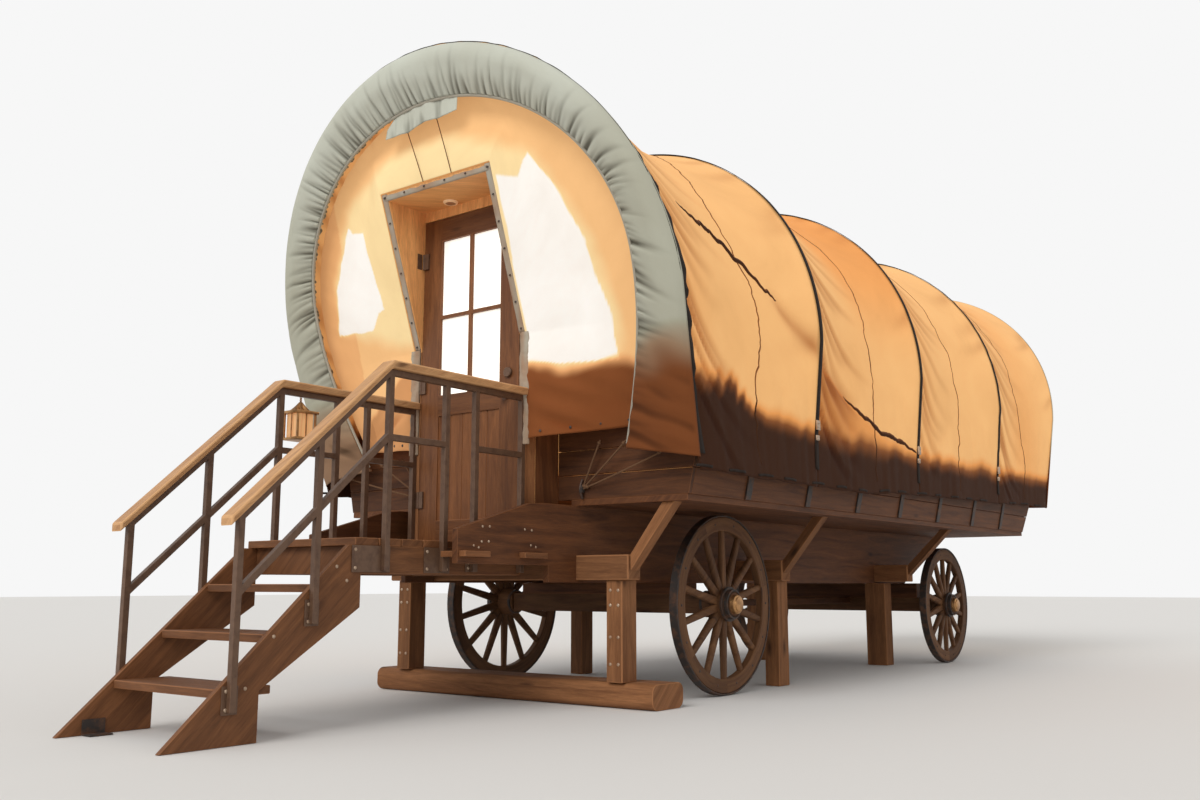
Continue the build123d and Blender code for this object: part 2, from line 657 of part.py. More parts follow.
def axles():
    """Timber axles with iron spindles, bolsters under the box and the reach between."""
    depth, height = AXLE
    for name, y, z in AXLES:
        low, high = z - height / 2, z + height / 2
        timber = block(-AXLE_END, AXLE_END, y - depth / 2, y + depth / 2, low, high)
        spindle = turned(((-SPINDLE_END, SPINDLE), (SPINDLE_END, SPINDLE)), HUB_SIDES)
        spindle = Pos(0, y, z) * spindle
        save(f"{name}_axle", timber + spindle)
        bolster_depth, length = BOLSTER
        half, back = length / 2, bolster_depth / 2
        save(f"{name}_bolster", block(-half, half, y - back, y + back, high, BED_BOTTOM))
    start, end = AXLES[0][1] + depth / 2, AXLES[1][1] - depth / 2
    width, height, low = REACH
    save("reach_pole", block(-width / 2, width / 2, start, end, low, low + height))


def wheel(radius):
    """Spoked wheel on the X axis with its outer side towards +X: wood, irons and cap."""
    thick = TYRE[1]
    outside, inside = radius - thick, radius - thick - FELLOE[1]
    side = Plane.YZ.offset(-FELLOE[0] / 2)
    ring = RegularPolygon(outside, RIM_SIDES) - RegularPolygon(inside, RIM_SIDES)
    wood = extrude(side * ring, amount=FELLOE[0])
    wood += turned(NAVE, HUB_SIDES)
    spoke = tapered(SPOKE_FOOT, SPOKE_TIP, SPOKE_ROOT, inside + SPOKE_TENON)
    for i in range(SPOKES):
        wood += Rot(360 / SPOKES * i, 0, 0) * spoke
    bore = ((NAVE[0][0] - 1, SPINDLE + HUB_FIT), (NAVE[-1][0] + 1, SPINDLE + HUB_FIT))
    wood -= turned(bore, HUB_SIDES)

    side = Plane.YZ.offset(-TYRE[0] / 2)
    ring = RegularPolygon(radius, TYRE_SIDES) - RegularPolygon(outside + TYRE_FIT, RIM_SIDES)
    irons = [extrude(side * ring, amount=TYRE[0])]
    nave = turned(NAVE, HUB_SIDES)
    for x, band, width in BANDS:
        disc = extrude(Plane.YZ.offset(x) * RegularPolygon(band, HUB_SIDES), amount=width)
        irons.append(disc - nave)
    cap = turned(CAP, HUB_SIDES)
    return wood, irons, cap


def wheels():
    """Four wheels, two sizes, each with its wood, its irons and its nose cap."""
    centre = WHEEL_FACE - TYRE[0] / 2
    for name, side, y, radius in WHEELS:
        wood, irons, cap = wheel(radius)
        for kind, pieces in (("wheel", [wood]), ("irons", irons), ("hub_cap", [cap])):
            placed = [Pos(centre, y, radius) * piece for piece in pieces]
            if side < 0:
                placed = [mirror(piece, about=Plane.YZ) for piece in placed]
            save(f"{name}_{kind}", *placed)


lower_box()
upper_box()
cover()
door_housing()
door()
deck_and_stairs()
railings()
lantern()
supports()
axles()
wheels()
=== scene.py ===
import bmesh
import bpy
import math
import random
from mathutils import Matrix, Vector, noise


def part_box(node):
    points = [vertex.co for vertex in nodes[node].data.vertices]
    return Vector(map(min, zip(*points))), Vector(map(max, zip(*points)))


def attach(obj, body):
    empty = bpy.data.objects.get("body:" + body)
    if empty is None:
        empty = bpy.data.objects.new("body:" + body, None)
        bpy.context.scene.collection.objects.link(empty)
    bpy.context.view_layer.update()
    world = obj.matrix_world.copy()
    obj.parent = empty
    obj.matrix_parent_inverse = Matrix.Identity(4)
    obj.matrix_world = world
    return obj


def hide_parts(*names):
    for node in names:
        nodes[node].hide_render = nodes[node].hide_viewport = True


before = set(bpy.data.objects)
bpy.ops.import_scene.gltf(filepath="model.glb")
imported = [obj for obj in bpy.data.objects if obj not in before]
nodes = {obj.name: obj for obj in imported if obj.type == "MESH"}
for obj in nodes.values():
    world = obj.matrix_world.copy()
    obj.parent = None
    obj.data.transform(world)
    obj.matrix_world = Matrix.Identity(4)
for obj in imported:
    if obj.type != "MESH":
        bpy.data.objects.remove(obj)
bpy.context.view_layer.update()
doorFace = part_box("door_slab")[0].y
upright = Vector((0, 0, 1))

# camera, floor and light

cameraSettings = {
    "place": (4.679, -7.115, 0.678), "turn": 37.64, "tilt": 9.4, "lens": 33.46, "sensor": 36,
}
stageSettings = {
    "floorSize": 60, "floorDrop": 0.002, "floor": {"Base Color": (0.74, 0.72, 0.69, 1), "Roughness": 0.9},
    "skyColour": (0.93, 0.93, 0.93, 1), "skyLight": 0.62,
    "sunFrom": (0.12, -0.82, 0.62), "sunStrength": 1.7, "sunAngle": 35,
}


def inScene(name, data):
    made = bpy.data.objects.new(name, data)
    bpy.context.scene.collection.objects.link(made)
    return made


def makeCamera():
    data = bpy.data.cameras.new("photoCamera")
    data.sensor_width = cameraSettings["sensor"]
    data.lens = cameraSettings["lens"]
    camera = inScene("photoCamera", data)
    camera.location = cameraSettings["place"]
    tilt, turn = cameraSettings["tilt"], cameraSettings["turn"]
    camera.rotation_euler = (math.radians(90 + tilt), 0, math.radians(turn))
    bpy.context.scene.camera = camera


def plug(tree, node, links):
    # links holds a value for each socket, or the socket that feeds it
    for key, value in links.items():
        if isinstance(value, bpy.types.NodeSocket):
            tree.links.new(value, node.inputs[key])
        else:
            node.inputs[key].default_value = value


def add(tree, kind, links=None, **values):
    # one shader node, its own settings and its sockets
    made = tree.nodes.new("ShaderNode" + kind)
    for key, value in values.items():
        setattr(made, key, value)
    plug(tree, made, links or {})
    return made


def ramp(tree, factor, stops):
    made = add(tree, "ValToRGB", {"Fac": factor})
    bar = made.color_ramp.elements
    bar[0].position, bar[0].color = stops[0][0], (*stops[0][1], 1)
    bar[1].position, bar[1].color = stops[-1][0], (*stops[-1][1], 1)
    for place, colour in stops[1:-1]:
        bar.new(place).color = (*colour, 1)
    return made.outputs["Color"]


def grey(value):
    return (value, value, value)


def blendColours(tree, factor, first, second, kind="MIX"):
    first, second = [colour if isinstance(colour, bpy.types.NodeSocket) else (*colour, 1)
                     for colour in (first, second)]
    links = {0: factor, 6: first, 7: second}
    return add(tree, "Mix", links, data_type="RGBA", blend_type=kind).outputs[2]


def maths(tree, kind, first, second):
    return add(tree, "Math", {0: first, 1: second}, operation=kind).outputs[0]


def roughAlong(tree, pattern, roughness, look):
    # roughness that follows a pattern, from a little below its mean to a little above
    low, high = roughness - look["roughBelow"], roughness + look["roughAbove"]
    return add(tree, "MapRange", {"Value": pattern, 3: low, 4: high}).outputs[0]


def cloudy(tree, place, scale, **rest):
    return add(tree, "TexNoise", {"Vector": place, "Scale": scale, **rest}).outputs["Fac"]


def scaledMap(tree, place, scale):
    return add(tree, "Mapping", {"Vector": place, "Scale": scale}).outputs[0]


def bumpy(tree, height, strength, distance):
    return add(tree, "Bump", {"Height": height, "Strength": strength, "Distance": distance}).outputs[0]


def startMaterial(name):
    made = bpy.data.materials.new(name)
    made.use_nodes = True
    return made, made.node_tree, made.node_tree.nodes["Principled BSDF"]


def makeStage():
    material, tree, shader = startMaterial("paleFloor")
    plug(tree, shader, stageSettings["floor"])
    bm = bmesh.new()
    bmesh.ops.create_grid(bm, x_segments=1, y_segments=1, size=stageSettings["floorSize"])
    mesh = bpy.data.meshes.new("paleFloor")
    bm.to_mesh(mesh)
    bm.free()
    mesh.materials.append(material)
    floor = inScene("paleFloor", mesh)
    floor.location.z = -stageSettings["floorDrop"]

    world = bpy.data.worlds.new("paleSky")
    bpy.context.scene.world = world
    world.use_nodes = True
    tree = world.node_tree
    tree.nodes.clear()
    path = add(tree, "LightPath").outputs
    seen = path["Is Camera Ray"]
    for ray in ("Is Glossy Ray", "Is Transmission Ray"):
        seen = maths(tree, "MAXIMUM", seen, path[ray])
    sky = add(tree, "Background", {"Color": stageSettings["skyColour"], "Strength": 1.0})
    light = add(tree, "Background", {"Color": (1, 1, 1, 1), "Strength": stageSettings["skyLight"]})
    mixed = add(tree, "MixShader", {0: seen, 1: light.outputs[0], 2: sky.outputs[0]})
    add(tree, "OutputWorld", {"Surface": mixed.outputs[0]})

    lamp = bpy.data.lights.new("softSun", "SUN")
    lamp.energy = stageSettings["sunStrength"]
    lamp.angle = math.radians(stageSettings["sunAngle"])
    sun = inScene("softSun", lamp)
    sun.rotation_euler = Vector(stageSettings["sunFrom"]).to_track_quat("Z", "Y").to_euler()
    bpy.context.scene.view_settings.view_transform = "Standard"


# finishes

finishes = {}
woods = {  # light and dark tone of each timber, its roughness, and its grain's depth
    "box_wood": ((0.170, 0.063, 0.021), (0.054, 0.018, 0.006), 0.62, 0.5),
    "post_wood": ((0.33, 0.148, 0.060), (0.145, 0.056, 0.020), 0.75, 0.9),
    "door_wood": ((0.24, 0.093, 0.031), (0.10, 0.034, 0.011), 0.45, 0.35),
    # painted lamplight: a bright warm tone for the porch boards, standing for the light from inside
    "housing_wood": ((0.92, 0.50, 0.19), (0.62, 0.28, 0.095), 0.5, 0.35),
    "stair_wood": ((0.265, 0.110, 0.042), (0.11, 0.042, 0.015), 0.6, 0.5),
    "handrail_wood": ((0.62, 0.36, 0.17), (0.36, 0.175, 0.072), 0.5, 0.4),
    "wheel_wood": ((0.20, 0.095, 0.039), (0.078, 0.031, 0.012), 0.68, 0.6),
}
grainLook = {
    # stretch of the broad figure, the fibres and the knots along a board, and their noise
    "broadMap": (1.1, 16, 1), "broad": {"Detail": 6, "Roughness": 0.62, "Distortion": 0.7}, "broadScale": 1.6,
    "fibreMap": (7, 190, 1), "fibre": {"Detail": 4, "Roughness": 0.7}, "fibreScale": 1.8,
    "knotMap": (1.4, 6, 1), "knotEdge": ((0.03, grey(1)), (0.11, grey(0))), "knotTone": 0.45,
    "stops": (0.28, 0.5, 0.72), "lines": ((0.35, (0.62, 0.6, 0.58)), (0.62, (1.06, 1.05, 1.04))),
    "lineShare": 0.75, "boards": ((0.0, (0.74, 0.72, 0.70)), (1.0, (1.2, 1.18, 1.16))),
    "wornShare": 0.45, "wornTone": 1.25, "roughBelow": 0.1, "roughAbove": 0.14, "specular": 0.28,
    "bump": 0.0015,
}
metals = {  # colour, rust, roughness, metallic share
    "dark_steel": ((0.135, 0.072, 0.040), (0.085, 0.042, 0.024), 0.45, 0.2),
    "iron": ((0.045, 0.036, 0.032), (0.16, 0.075, 0.04), 0.55, 0.4),
    "brass": ((0.50, 0.27, 0.11), (0.22, 0.11, 0.05), 0.35, 0.85),
    "zinc": ((0.46, 0.34, 0.24), (0.30, 0.18, 0.11), 0.4, 0.6),
}
rustLook = {
    "patchScale": 22, "patch": {"Detail": 5, "Roughness": 0.6},
    "patchEdge": ((0.45, grey(0)), (0.75, grey(1))), "speckScale": 240,
    "roughBelow": 0.1, "roughAbove": 0.2, "bump": (0.25, 0.0006),
}
# each cloth's last colour is painted shade, multiplied in at folds and creases by the "shade" attribute
cloths = {  # colour and inner light along the attribute "glow", and what a fold's hollow leaves of them
    # canvas: low glow paints the canvas dark brown where no lamplight shines through; high glow and its shine
    # paint the glow of the lamps inside
    "canvas": {
        "tones": [(0, (0.050, 0.017, 0.006)), (0.35, (0.22, 0.076, 0.022)),
                  (0.72, (0.56, 0.235, 0.070)), (1, (0.62, 0.34, 0.14))],
        "shine": [(0, grey(0)), (0.35, (0.06, 0.018, 0.004)),
                  (0.72, (0.39, 0.165, 0.045)), (1, (0.42, 0.235, 0.088))],
        "paintedShade": (0.58, 0.34, 0.21)},
    # end_canvas: glow runs from the unlit foot painted dark, through peach and pale painted lamplight, to hot
    # white patches of painted lamplight
    "end_canvas": {
        "tones": [(0, (0.24, 0.075, 0.022)), (0.4, (0.50, 0.25, 0.10)), (0.6, (0.55, 0.32, 0.14)),
                  (0.8, (0.574, 0.452, 0.241)), (1, (0.62, 0.59, 0.55))],
        "shine": [(0, grey(0)), (0.4, (0.37, 0.180, 0.074)), (0.6, (0.43, 0.252, 0.112)),
                  (0.8, (0.44, 0.32, 0.16)), (1, (0.42, 0.41, 0.39))],
        "paintedShade": (0.87, 0.62, 0.43)},
    # hood_canvas: the band's own pale grey-green at low glow; higher glow paints warm lamplight from below as
    # a dimmer brown
    "hood_canvas": {
        "tones": [(0, (0.55, 0.565, 0.485)), (0.35, (0.40, 0.39, 0.30)),
                  (0.7, (0.32, 0.21, 0.13)), (1, (0.19, 0.060, 0.018))],
        "paintedShade": (0.13, 0.11, 0.085)},
    "trim_canvas": {"tones": [(0, (0.42, 0.39, 0.32)), (1, (0.36, 0.20, 0.11))], "paintedShade": (0.5, 0.4, 0.3)},
    "strap": {"tones": [(0, (0.018, 0.014, 0.012)), (1, (0.05, 0.03, 0.02))], "paintedShade": grey(0.3)},
    # this tape colour also serves the cords, and paints the dark shade in the tucks' creases
    "seam_tape": {"tones": [(0, (0.15, 0.055, 0.02)), (1, (0.36, 0.12, 0.03))], "paintedShade": grey(0.26)},
    "rope": {"tones": [(0, (0.16, 0.085, 0.045)), (1, (0.30, 0.17, 0.09))], "paintedShade": grey(0.2)},
}
weaveLook = {
    "mottleScale": 1.7, "mottle": {"Detail": 7, "Roughness": 0.6, "Distortion": 0.4},
    "mottleTones": ((0.3, (0.90, 0.87, 0.84)), (0.7, grey(1.04))), "share": 0.8,
    "threads": {"Scale": 210, "Distortion": 0.6, "Detail": 1},
    "threadTones": ((0.2, grey(0.93)), (0.9, grey(1.02))), "bump": (0.3, 0.0004),
    # painted shade: how far the painted glow drops in a fold
    "foldShine": ((0, grey(1)), (1, (0.30, 0.16, 0.08))),
    "surface": {"Roughness": 0.86, "Sheen Weight": 0.02, "Specular IOR Level": 0.12},
}
lamps = {  # colour, strength, roughness, scale of the streaks
    # the door's glass is no lamp: its glow and streaks paint the lit room behind it
    "clear_glass": ((1.0, 0.95, 0.86), 0.62, 0.08, (7, 7, 0.8)),
    "lamp": ((0.85, 0.46, 0.20), 0.35, 0.3, (60, 60, 4)),
    "soffit_lamp": ((0.95, 0.62, 0.34), 0.12, 0.3, (20, 20, 20)),
}
lampLook = {
    "streakStops": (0.36, 0.52), "streakTone": 0.80,
    "lens": (0.30, 0.125, 0.055), "lensEdge": ((0.030, grey(1)), (0.034, grey(0))),  # the soffit lamp's glass
}


def woodFinish(name):
    light, dark, roughness, depth = woods[name]
    look = grainLook
    finishes[name], tree, shader = startMaterial(name)
    grainMap = add(tree, "UVMap", uv_map="grain").outputs[0]
    board, worn = [add(tree, "Attribute", attribute_name=key).outputs["Fac"] for key in ("board", "worn")]
    broad = cloudy(tree, scaledMap(tree, grainMap, look["broadMap"]), look["broadScale"], **look["broad"])
    fibre = cloudy(tree, scaledMap(tree, grainMap, look["fibreMap"]), look["fibreScale"], **look["fibre"])
    knotMap = scaledMap(tree, grainMap, look["knotMap"])
    knot = add(tree, "TexVoronoi", {"Vector": knotMap, "Scale": 1.0, "Randomness": 1.0})
    knotSpot = ramp(tree, knot.outputs["Distance"], look["knotEdge"])
    middle = [(a + b) / 2 for a, b in zip(light, dark)]
    tone = ramp(tree, broad, list(zip(look["stops"], (dark, middle, light))))
    tone = blendColours(tree, look["lineShare"], tone, ramp(tree, fibre, look["lines"]), "MULTIPLY")
    tone = blendColours(tree, knotSpot, tone, [value * look["knotTone"] for value in dark])
    tone = blendColours(tree, 1.0, tone, ramp(tree, board, look["boards"]), "MULTIPLY")
    edge = maths(tree, "MULTIPLY", worn, look["wornShare"])
    tone = blendColours(tree, edge, tone, [value * look["wornTone"] for value in light])
    rough = roughAlong(tree, fibre, roughness, look)
    normal = bumpy(tree, maths(tree, "ADD", fibre, broad), depth, look["bump"])
    plug(tree, shader, {"Base Color": tone, "Roughness": rough, "Normal": normal,
                        "Specular IOR Level": look["specular"]})


def metalFinish(name):
    colour, rust, roughness, metallic = metals[name]
    look = rustLook
    finishes[name], tree, shader = startMaterial(name)
    place = add(tree, "TexCoord").outputs["Object"]
    patch = cloudy(tree, place, look["patchScale"], **look["patch"])
    speck = cloudy(tree, place, look["speckScale"])
    tone = blendColours(tree, ramp(tree, patch, look["patchEdge"]), colour, rust)
    rough = roughAlong(tree, patch, roughness, look)
    plug(tree, shader, {"Base Color": tone, "Roughness": rough, "Metallic": metallic,
                        "Normal": bumpy(tree, speck, *look["bump"])})


def clothFinish(name):
    # "shade" darkens folds as painted shade, "glow" chooses the tone and paints the lamplight from inside
    # where the lamps shine through
    cloth, look = cloths[name], weaveLook
    finishes[name], tree, shader = startMaterial(name)
    clothMap = add(tree, "UVMap", uv_map="cloth").outputs[0]
    shade, glow = [add(tree, "Attribute", attribute_name=key).outputs["Fac"] for key in making["clothTones"]]
    mottle = cloudy(tree, clothMap, look["mottleScale"], **look["mottle"])
    warp, weft = [add(tree, "TexWave", {"Vector": clothMap, **look["threads"]}, bands_direction=way)
                  for way in "XY"]
    weave = maths(tree, "ADD", warp.outputs["Fac"], weft.outputs["Fac"])
    dull = ramp(tree, mottle, look["mottleTones"])
    tone = blendColours(tree, look["share"], ramp(tree, glow, cloth["tones"]), dull, "MULTIPLY")
    tone = blendColours(tree, look["share"], tone, ramp(tree, weave, look["threadTones"]), "MULTIPLY")
    # painted shade: folds and creases darkened by the "shade" attribute
    tone = blendColours(tree, shade, tone, cloth["paintedShade"], "MULTIPLY")
    plug(tree, shader, {"Base Color": tone, "Normal": bumpy(tree, weave, *look["bump"]), **look["surface"]})
    # the shine is emission that paints lamplight from inside onto cloth, which is no lamp
    if "shine" in cloth:
        shine = blendColours(tree, look["share"], ramp(tree, glow, cloth["shine"]), dull, "MULTIPLY")
        shine = blendColours(tree, 1.0, shine, ramp(tree, shade, look["foldShine"]), "MULTIPLY")
        plug(tree, shader, {"Emission Color": shine, "Emission Strength": 1.0})


def lampFinish(name):
    colour, strength, roughness, scale = lamps[name]
    finishes[name], tree, shader = startMaterial(name)
    place = add(tree, "TexCoord").outputs["Object"]
    streaks = cloudy(tree, scaledMap(tree, place, scale), 1.0, Detail=3)
    tones = [value * lampLook["streakTone"] for value in colour], colour
    tone = ramp(tree, streaks, list(zip(lampLook["streakStops"], tones)))
    if name == "soffit_lamp":  # darker glass in a pale ring
        low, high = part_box("soffit_light")
        middle = ((low.x + high.x) / 2, (low.y + high.y) / 2, low.z)
        away = add(tree, "VectorMath", {0: place, 1: middle}, operation="DISTANCE").outputs["Value"]
        tone = blendColours(tree, ramp(tree, away, lampLook["lensEdge"]), tone, lampLook["lens"])
    plug(tree, shader, {"Base Color": tone, "Emission Color": tone, "Emission Strength": strength,
                        "Roughness": roughness})


def makeFinishes():
    kinds = ((woods, woodFinish), (cloths, clothFinish), (metals, metalFinish), (lamps, lampFinish))
    for table, makeFinish in kinds:
        for name in table:
            makeFinish(name)
    print("finishes made")


# shared making of pieces

making = {
    "sharp": 32, "easeFrom": 25,  # degrees between two faces at which an edge is shaded sharp, or eased
    "merge": 0.00002, "flat": 1,  # distance and degrees by which a CAD copy's triangles join
    "turnedMerge": 0.00005, "endGrain": 0.75, "endScale": 0.5, "grainShift": 40,  # grain on a board's end
    "axisGuess": (0.31, 0.87, 0.41), "axisTurns": 40, "clothTones": ("shade", "glow"),
}


def smooth(value, low=0.0, high=1.0):
    value = min(1.0, max(0.0, (value - low) / (high - low)))
    return value * value * (3 - 2 * value)


def between(value, table):
    # straight runs between the table's pairs
    if value <= table[0][0]:
        return table[0][1]
    for (x0, y0), (x1, y1) in zip(table, table[1:]):
        if value <= x1:
            return y0 + (y1 - y0) * (value - x0) / (x1 - x0)
    return table[-1][1]


def within(share, ends):
    # a share of a run, kept off both its ends
    return ends + (1 - 2 * ends) * share


def ripple(layer, x, y=1.0, seed=0.0):
    # noise over x and y: a layer is its height, its scales along them and its own seed
    height, across, along, own = layer
    return height * noise.noise((x * across, y * along, own + seed))


def finishPiece(bm, name, finish, body="wagon", replaced=(), flat=False, materialSlot=None, thick=0.0):
    bm.normal_update()
    for face in bm.faces:
        face.smooth = not flat
    for edge in bm.edges:
        edge.smooth = edge.calc_face_angle(0) < math.radians(making["sharp"])
    mesh = bpy.data.meshes.new(name)
    bm.to_mesh(mesh)
    bm.free()
    mesh.materials.append(finishes[finish])
    piece = inScene(name, mesh)
    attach(piece, body)
    if replaced:
        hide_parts(*replaced)
    materialSlot or finish
    if thick:
        wall = piece.modifiers.new("thickness", "SOLIDIFY")
        wall.thickness = thick
        wall.offset = -1
    return piece


def islandsOf(bm):
    left = set(bm.faces)
    while left:
        stack, group = [left.pop()], []
        while stack:
            face = stack.pop()
            group.append(face)
            for edge in face.edges:
                for other in edge.link_faces:
                    if other in left:
                        left.discard(other)
                        stack.append(other)
        yield group


def longAxis(points):
    # direction of the widest spread, by turning a vector through the spread matrix
    middle = sum(points, Vector()) / len(points)
    spread = Matrix(((0, 0, 0), (0, 0, 0), (0, 0, 0)))
    for point in points:
        away = point - middle
        spread = spread + Matrix([[away[i] * away[j] for j in range(3)] for i in range(3)])
    guess = Vector(making["axisGuess"])
    for _ in range(making["axisTurns"]):
        guess = (spread @ guess).normalized()
    return guess


def layGrain(bm, seed, along=None):
    # UV map "grain": u runs along each board in metres, v across it
    dice = random.Random(seed)
    uvLayer = bm.loops.layers.uv.new("grain")
    boardLayer = bm.faces.layers.float.new("board")
    bm.faces.ensure_lookup_table()
    for group in sorted(islandsOf(bm), key=lambda faces: min(face.index for face in faces)):
        points = list({vert.index: vert.co for face in group for vert in face.verts}.values())
        axis = along or longAxis(points)
        side = axis.orthogonal().normalized()
        over = axis.cross(side)
        tone, shift = dice.random(), dice.uniform(0, making["grainShift"])
        for face in group:
            face[boardLayer] = tone
            endFace = abs(face.normal.dot(axis)) > making["endGrain"]
            across = side if abs(face.normal.dot(side)) < abs(face.normal.dot(over)) else over
            for loop in face.loops:
                point = loop.vert.co
                u = point.dot(side) * making["endScale"] if endFace else point.dot(axis)
                loop[uvLayer].uv = (u + shift, point.dot(over if endFace else across) + shift)


def easeEdges(bm, edges, width, steps=2):
    return bmesh.ops.bevel(bm, geom=edges, offset=width, offset_type="OFFSET", segments=steps, profile=0.5,
                           affect="EDGES", clamp_overlap=True, material=-1)["faces"]


def softenEdges(bm, width):
    wornLayer = bm.faces.layers.float.new("worn")
    edges = [edge for edge in bm.edges if len(edge.link_faces) == 2
             and edge.calc_face_angle(0) > math.radians(making["easeFrom"])]
    for face in easeEdges(bm, edges, width):
        face[wornLayer] = 1.0


def cadCopy(name):
    bm = bmesh.new()
    bm.from_mesh(nodes[name].data)
    bmesh.ops.remove_doubles(bm, verts=bm.verts, dist=making["merge"])
    bmesh.ops.dissolve_limit(bm, angle_limit=math.radians(making["flat"]), verts=bm.verts, edges=bm.edges)
    return bm


def dressNode(name, finish, width, body="wagon"):
    # a merged copy of a CAD node with eased edges and its grain along each board
    bm = cadCopy(name)
    if width:
        softenEdges(bm, width)
    bm.normal_update()
    layGrain(bm, name)
    finishPiece(bm, name + "_dressed", finish, body, (name,), bool(width))


doorShape = {
    "stile": 0.253, "rails": (1.06, 1.70, 1.828, 2.816), "ease": 0.002,
    "stileTone": 0.55, "panelTone": 0.8, "railTone": 0.25, "railShift": 9, "railStep": 0.7,
}


def dressDoor():
    # stiles and panel boards run up, rails run across, and each joint shows
    bm = cadCopy("door_slab")
    softenEdges(bm, doorShape["ease"])
    cuts = [((side * doorShape["stile"], 0, 0), (1, 0, 0)) for side in (1, -1)]
    cuts += [((0, 0, z), (0, 0, 1)) for z in doorShape["rails"]]
    for place, normal in cuts:
        everything = bm.verts[:] + bm.edges[:] + bm.faces[:]
        bmesh.ops.bisect_plane(bm, geom=everything, plane_co=place, plane_no=normal)
    layGrain(bm, "door_slab", upright)
    uvLayer, boardLayer = bm.loops.layers.uv["grain"], bm.faces.layers.float["board"]
    low, middleLow, middleHigh, high = doorShape["rails"]
    for face in bm.faces:
        middle = face.calc_center_median()
        if abs(middle.x) > doorShape["stile"]:
            face[boardLayer] = doorShape["stileTone"]
        elif low < middle.z < middleLow or middleHigh < middle.z < high:
            face[boardLayer] = doorShape["panelTone"]
        else:
            face[boardLayer] = doorShape["railTone"]
            shift = doorShape["railShift"] + middle.z // doorShape["railStep"]
            for loop in face.loops:
                loop[uvLayer].uv = (loop.vert.co.x + shift, loop.vert.co.z)
    finishPiece(bm, "door_slab_dressed", "door_wood", "door", ("door_slab",), True)


housingShape = {"ease": 0.003, "outside": 0.455, "sideways": 0.9}


def dressHousing():
    # boards inside the porch in a bright warm tone that paints the lamplight from inside, the box's dark wood
    # on its outer sides
    bm = cadCopy("door_housing")
    softenEdges(bm, housingShape["ease"])
    bm.normal_update()
    layGrain(bm, "door_housing")
    for face in bm.faces:
        outside = abs(face.calc_center_median().x) > housingShape["outside"]
        if abs(face.normal.x) > housingShape["sideways"] and outside:
            face.material_index = 1
    piece = finishPiece(bm, "door_housing_dressed", "housing_wood", replaced=("door_housing",), flat=True,
                        materialSlot="door_wood")
    piece.data.materials.append(finishes["box_wood"])


def facing(out):
    return Vector(out).to_track_quat("Z", "Y").to_matrix().to_4x4()


def roundHead(bm, place, out, radius, height=0.5):
    # a domed bolt head or snap, half sunk in what it holds
    matrix = Matrix.Translation(place) @ facing(out) @ Matrix.Diagonal((radius, radius, radius * height, 1))
    bmesh.ops.create_uvsphere(bm, u_segments=12, v_segments=6, radius=1, matrix=matrix)


def easedBox(bm, low, high, ease, matrix=None):
    low, high = Vector(low), Vector(high)
    placed = Matrix.Translation((low + high) / 2) @ Matrix.Diagonal((*(high - low), 1))
    made = bmesh.ops.create_cube(bm, size=1, matrix=(matrix or Matrix()) @ placed)
    easeEdges(bm, list({edge for vert in made["verts"] for edge in vert.link_edges}), ease)


def spun(bm, rows, matrix, steps=40, closed=False):
    # a turning on the X axis through rows of x and radius
    before = set(bm.verts)
    verts = [bm.verts.new((x, 0, radius)) for x, radius in rows]
    edges = [bm.edges.new(pair) for pair in zip(verts, verts[1:])]
    if closed:
        edges.append(bm.edges.new((verts[-1], verts[0])))
    bmesh.ops.spin(bm, geom=verts + edges, cent=(0, 0, 0), axis=(1, 0, 0), dvec=(0, 0, 0),
                   angle=2 * math.pi, steps=steps, use_merge=True, use_duplicate=False)
    corners = [vert for vert in bm.verts if vert not in before]
    bmesh.ops.transform(bm, verts=corners, matrix=matrix)
    bmesh.ops.remove_doubles(bm, verts=corners, dist=making["turnedMerge"])


def tubeAlong(bm, points, radius, smoothed=True):
    # a rope, rod or chain link: the mesh of a round curve through the points
    curve = bpy.data.curves.new("tubeLine", "CURVE")
    curve.dimensions, curve.bevel_depth, curve.bevel_resolution = "3D", radius, 2
    curve.use_fill_caps = True
    spline = curve.splines.new("NURBS" if smoothed else "POLY")
    spline.points.add(len(points) - 1)
    for knot, point in zip(spline.points, points):
        knot.co = (*point, 1)
    if smoothed:
        spline.order_u, spline.use_endpoint_u, spline.resolution_u = 3, True, 6
    holder = bpy.data.objects.new("tubeLine", curve)
    mesh = bpy.data.meshes.new_from_object(holder)
    bm.from_mesh(mesh)
    bpy.data.objects.remove(holder)
    bpy.data.curves.remove(curve)
    bpy.data.meshes.remove(mesh)


def clothGrid(columns, rows, size, place):
    # a grid laid on a surface: place(u, v) gives the point, its shade and its glow
    bm = bmesh.new()
    bmesh.ops.create_grid(bm, x_segments=columns, y_segments=rows, size=0.5)
    uvLayer = bm.loops.layers.uv.new("cloth")
    shadeLayer, glowLayer = [bm.verts.layers.float.new(name) for name in making["clothTones"]]
    for face in bm.faces:
        for loop in face.loops:
            flat = loop.vert.co
            loop[uvLayer].uv = ((flat.x + 0.5) * size[0], (flat.y + 0.5) * size[1])
    for vert in bm.verts:
        vert.co, vert[shadeLayer], vert[glowLayer] = place(vert.co.x + 0.5, vert.co.y + 0.5)
    return bm


def joined(grids):
    # several cloth grids as one mesh
    whole = grids[0]
    for grid in grids[1:]:
        mesh = bpy.data.meshes.new("part")
        grid.to_mesh(mesh)
        grid.free()
        whole.from_mesh(mesh)
        bpy.data.meshes.remove(mesh)
    return whole


